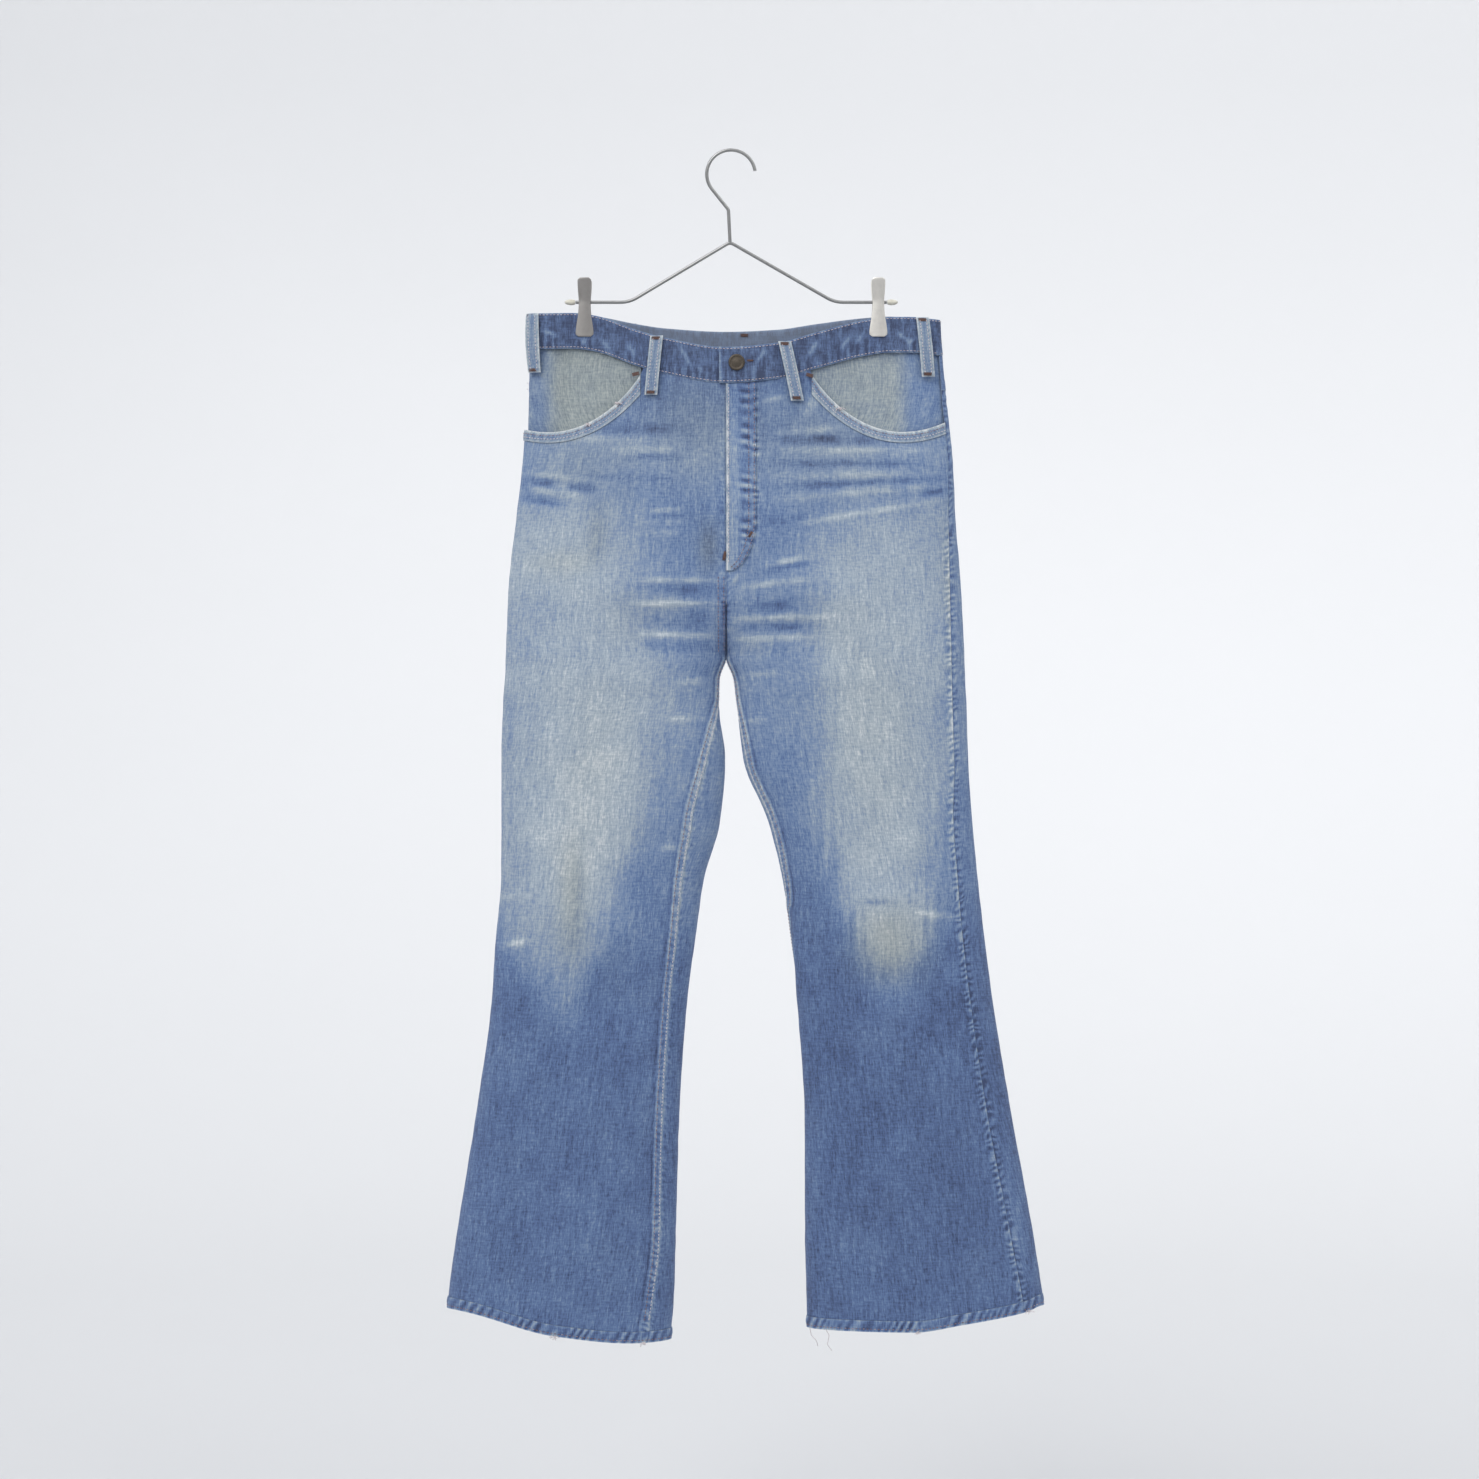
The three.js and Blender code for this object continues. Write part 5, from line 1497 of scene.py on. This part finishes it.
class JEANS_OT_panels(bpy.types.Operator):
    """Adds the fronts, the backs, the yokes and the turned hems"""
    bl_idname = "jeans.panels"
    bl_label = "Panels"

    def execute(self, context):
        sizes = context.scene.jeans_cloth
        for half in HALVES:
            for is_front, face in ((True, "front"), (False, "back")):
                make_panel(half, is_front, sizes)
                make_hem(half, is_front, sizes)
                finish_cloth(context, f"{face}_{half.name}", f"hem_{half.name}_{face}")
            make_yoke(half, sizes)
            finish_cloth(context, "yoke_" + half.name)
        sew_panels()
        return {"FINISHED"}


class JEANS_OT_pockets(bpy.types.Operator):
    """Adds the scooped pockets' facings and rims, and the plain back pockets"""
    bl_idname = "jeans.pockets"
    bl_label = "Pockets"

    def execute(self, context):
        for half in HALVES:
            make_facing(half)
            make_rim(half)
            make_back_pocket(half)
            finish_cloth(context, "pocket_facing_" + half.name, slot="facing")
            finish_cloth(context, "pocket_rim_" + half.name, "back_pocket_" + half.name)
        return {"FINISHED"}


class JEANS_OT_fly(bpy.types.Operator):
    """Adds the fly flap with its curved end"""
    bl_idname = "jeans.fly"
    bl_label = "Fly"

    def execute(self, context):
        make_fly()
        finish_cloth(context, "fly_flap")
        return {"FINISHED"}


class JEANS_OT_waistband(bpy.types.Operator):
    """Adds the waistband's three lengths"""
    bl_idname = "jeans.waistband"
    bl_label = "Waistband"

    def execute(self, context):
        make_waistband()
        finish_cloth(context, "waistband_front_right", "waistband_front_left", "waistband_back")
        return {"FINISHED"}


class JEANS_OT_belt_loops(bpy.types.Operator):
    """Adds the seven belt loops"""
    bl_idname = "jeans.belt_loops"
    bl_label = "Belt loops"

    def execute(self, context):
        for number in range(1, len(BELT_LOOPS) + 1):
            make_loop(number, context.scene.jeans_cloth)
            finish_cloth(context, f"belt_loop_{number}")
        return {"FINISHED"}


class JEANS_OT_stitches(bpy.types.Operator):
    """Sews every row of stitches and every bar tack"""
    bl_idname = "jeans.stitches"
    bl_label = "Stitches"

    def execute(self, context):
        sew_frayed()
        for host, (piece, flat, share) in JEANS.sheets.items():
            if host in JEANS.thread:
                stitches = thread_mesh("stitches_" + host, JEANS.thread[host])
                painted(stitches, "worn thread", thread)
                place_piece(stitches, "denim")
        return {"FINISHED"}


class JEANS_OT_button(bpy.types.Operator):
    """Adds the plain shank button"""
    bl_idname = "jeans.button"
    bl_label = "Button"

    def execute(self, context):
        turn = LEFT.turn_at(BUTTON_X, BUTTON_DROP, True)
        seat = LEFT.surface(turn, BUTTON_DROP, 3.1)
        rings = [(7.0, 0.1), (7.9, 0.4), (8.4, 1.1), (8.5, 1.8), (8.2, 2.5), (7.6, 2.9),
                 (7.0, 2.9), (6.5, 2.4), (6.1, 2.2), (5.0, 2.25), (3.4, 2.55), (1.6, 2.9),
                 (0.5, 3.0)]
        piece = turned("shank_button", rings, seat, (math.pi / 2, 0, 0), 40)
        painted(piece, "worn bronze", metal, context.scene.jeans_looks.bronze,
                colour(70, 62, 54), 0.46, 0.85, 700.0)
        place_piece(piece, "button", "waist_button")
        return {"FINISHED"}


class JEANS_OT_hanger(bpy.types.Operator):
    """Bends the hanger's hook and its two arms, and puts the tips on"""
    bl_idname = "jeans.hanger"
    bl_label = "Hanger"

    def execute(self, context):
        sizes, looks = context.scene.jeans_hanger, context.scene.jeans_looks
        bend = sizes.hook_radius / MM
        start = math.radians(8)
        centre = sizes.wire_radius / MM - bend
        moves = [("bend", bend, 210.69), ("run", 25.11), ("bend", 6, -35.93), ("run", 32.29)]
        hook = bent_wire("hook_wire", bend * math.cos(start), centre + bend * math.sin(start),
                         98, moves, sizes.wire_radius)
        corners = [(-160.5, -ARM_DROP), (-105, -ARM_DROP), (-1, -NECK_DROP), (107, -ARM_DROP),
                   (161, -ARM_DROP)]
        heading, moves = hanger_moves(corners, [9, 4, 9])
        arms = bent_wire("arms_wire", *corners[0], heading, moves, sizes.wire_radius)
        for piece, node in ((hook, "hanger_hook"), (arms, "hanger_arms")):
            place_steel(piece, looks, node)
        rings = [(1.2, 0), (2.2, 0.2), (2.6, 1.2), (3.0, 2.8), (3.1, 4.2), (3.0, 6), (2.6, 8),
                 (2.0, 9.6), (1.2, 10.6), (0.4, 11)]
        for x, side, name in ((-160.5, -1, "right"), (161, 1, "left")):
            cap = turned("tip_" + name, rings, (x + side * 0.3, 0, -ARM_DROP),
                         (0, side * math.pi / 2, 0), 20)
            painted(cap, "clear tip", clear_tip)
            place_piece(cap, "cap", "wire_cap_" + name)
        return {"FINISHED"}


class JEANS_OT_clips(bpy.types.Operator):
    """Adds the two clips, each with two plates and a spring"""
    bl_idname = "jeans.clips"
    bl_label = "Clips"

    def execute(self, context):
        looks = context.scene.jeans_looks
        # Shaded copy of the steel colour on the right clip, lit copy on the left.
        for name, x, base in (("right", -151, looks.plate_shaded), ("left", 152, looks.plate_lit)):
            for is_front, face in ((True, "front"), (False, "back")):
                plate = grip_plate(f"plate_{name}_{face}", x, is_front)
                dark = [c * 0.82 for c in base]
                painted(plate, f"satin plate {name}", metal, base, dark, 0.4)
                place_piece(plate, "clip", f"clip_{name}_{face}")
            spring = clip_spring(f"coil_{name}", x)
            place_steel(spring, looks, f"clip_{name}_spring")
        return {"FINISHED"}


class JEANS_OT_stage(bpy.types.Operator):
    """Adds the pale floor that runs up into a round backdrop, the lights and the camera"""
    bl_idname = "jeans.stage"
    bl_label = "Stage"

    def execute(self, context):
        stage = context.scene.jeans_stage
        flat = curve = 2.6
        bowl = start_piece(bpy.ops.mesh.primitive_circle_add, "backdrop", vertices=96, radius=flat,
                           fill_type="NGON", location=(0, 0, -stage.floor_drop))
        bpy.ops.mesh.select_mode(type="EDGE")
        bpy.ops.mesh.select_all(action="SELECT")
        radius = flat
        for degrees in range(10, 91, 10):
            angle = math.radians(degrees)
            rise = curve * (math.cos(angle - math.radians(10)) - math.cos(angle))
            wider = flat + curve * math.sin(angle)
            bpy.ops.mesh.extrude_edges_move(TRANSFORM_OT_translate={"value": (0, 0, rise)})
            bpy.ops.transform.resize(value=(wider / radius, wider / radius, 1),
                                     center_override=(0, 0, 0))
            radius = wider
        bpy.ops.mesh.extrude_edges_move(TRANSFORM_OT_translate={"value": (0, 0, 1.2)})
        close_piece(bowl, 60)
        paint = Paint("pale backdrop")
        tone = paint.noise(paint.node("TexCoord").outputs["Object"], 1.2)
        paint.feed(paint.shader.inputs["Base Color"], paint.blend(
            tone, (*[c * 0.985 for c in stage.backdrop], 1), (*stage.backdrop, 1)))
        bowl.data.materials.append(paint.finish(Roughness=0.9))
        lights = [("key_light", (-2.2, -3.0, 3.0), 45, stage.key_strength),
                  ("fill_light", (3.0, -2.4, 3.0), 40, stage.fill_strength),
                  ("back_light", (0.6, 3.4, 2.6), 40, stage.fill_strength)]
        for name, place, size, strength in lights:
            bpy.ops.object.light_add(type="SUN", location=place)
            light = context.active_object
            light.name = name
            light.data.angle, light.data.energy = math.radians(size), strength
            light.rotation_euler = direction([-c for c in place])
        world = bpy.data.worlds.new("pale room")
        context.scene.world = world
        world.use_nodes = True
        room = world.node_tree.nodes["Background"].inputs
        room["Color"].default_value = (0.93, 0.958, 1, 1)
        room["Strength"].default_value = stage.room_strength
        bpy.ops.object.camera_add(location=(0.0088, -3.5, -0.607), rotation=(math.pi / 2, 0, 0))
        camera = context.active_object
        camera.data.lens, camera.data.sensor_width = 82.5, 36
        camera.data.clip_end = 50
        context.scene.camera = camera
        context.scene.view_settings.view_transform = "Standard"
        return {"FINISHED"}


def direction(towards):
    """The turn that points a light that way."""
    x, y, z = towards
    return (math.atan2(math.hypot(x, y), -z), 0, math.atan2(y, x) - math.pi / 2)


class JEANS_PT_pieces(bpy.types.Panel):
    bl_idname = "JEANS_PT_pieces"
    bl_label = "Flared jeans"
    bl_space_type = "VIEW_3D"
    bl_region_type = "UI"
    bl_category = "Jeans"

    def draw(self, context):
        for group in (context.scene.jeans_cloth, context.scene.jeans_looks,
                      context.scene.jeans_hanger, context.scene.jeans_stage):
            for key in group.__annotations__:
                self.layout.prop(group, key)
        for operator in PIECES:
            self.layout.operator(operator.bl_idname)


PIECES = (JEANS_OT_panels, JEANS_OT_pockets, JEANS_OT_fly, JEANS_OT_waistband,
          JEANS_OT_belt_loops, JEANS_OT_stitches, JEANS_OT_button, JEANS_OT_hanger,
          JEANS_OT_clips, JEANS_OT_stage)
SETTINGS = {"jeans_cloth": ClothSettings, "jeans_looks": LooksSettings,
            "jeans_hanger": HangerSettings, "jeans_stage": StageSettings}


def register():
    for cls in (*SETTINGS.values(), *PIECES, JEANS_PT_pieces):
        bpy.utils.register_class(cls)
    for key, cls in SETTINGS.items():
        setattr(bpy.types.Scene, key, PointerProperty(type=cls))


def unregister():
    for key in SETTINGS:
        delattr(bpy.types.Scene, key)
    for cls in (JEANS_PT_pieces, *reversed(PIECES), *SETTINGS.values()):
        bpy.utils.unregister_class(cls)


def main():
    register()
    for operator in PIECES:
        group, name = operator.bl_idname.split(".")
        getattr(getattr(bpy.ops, group), name)()


if __name__ == "__main__":
    main()
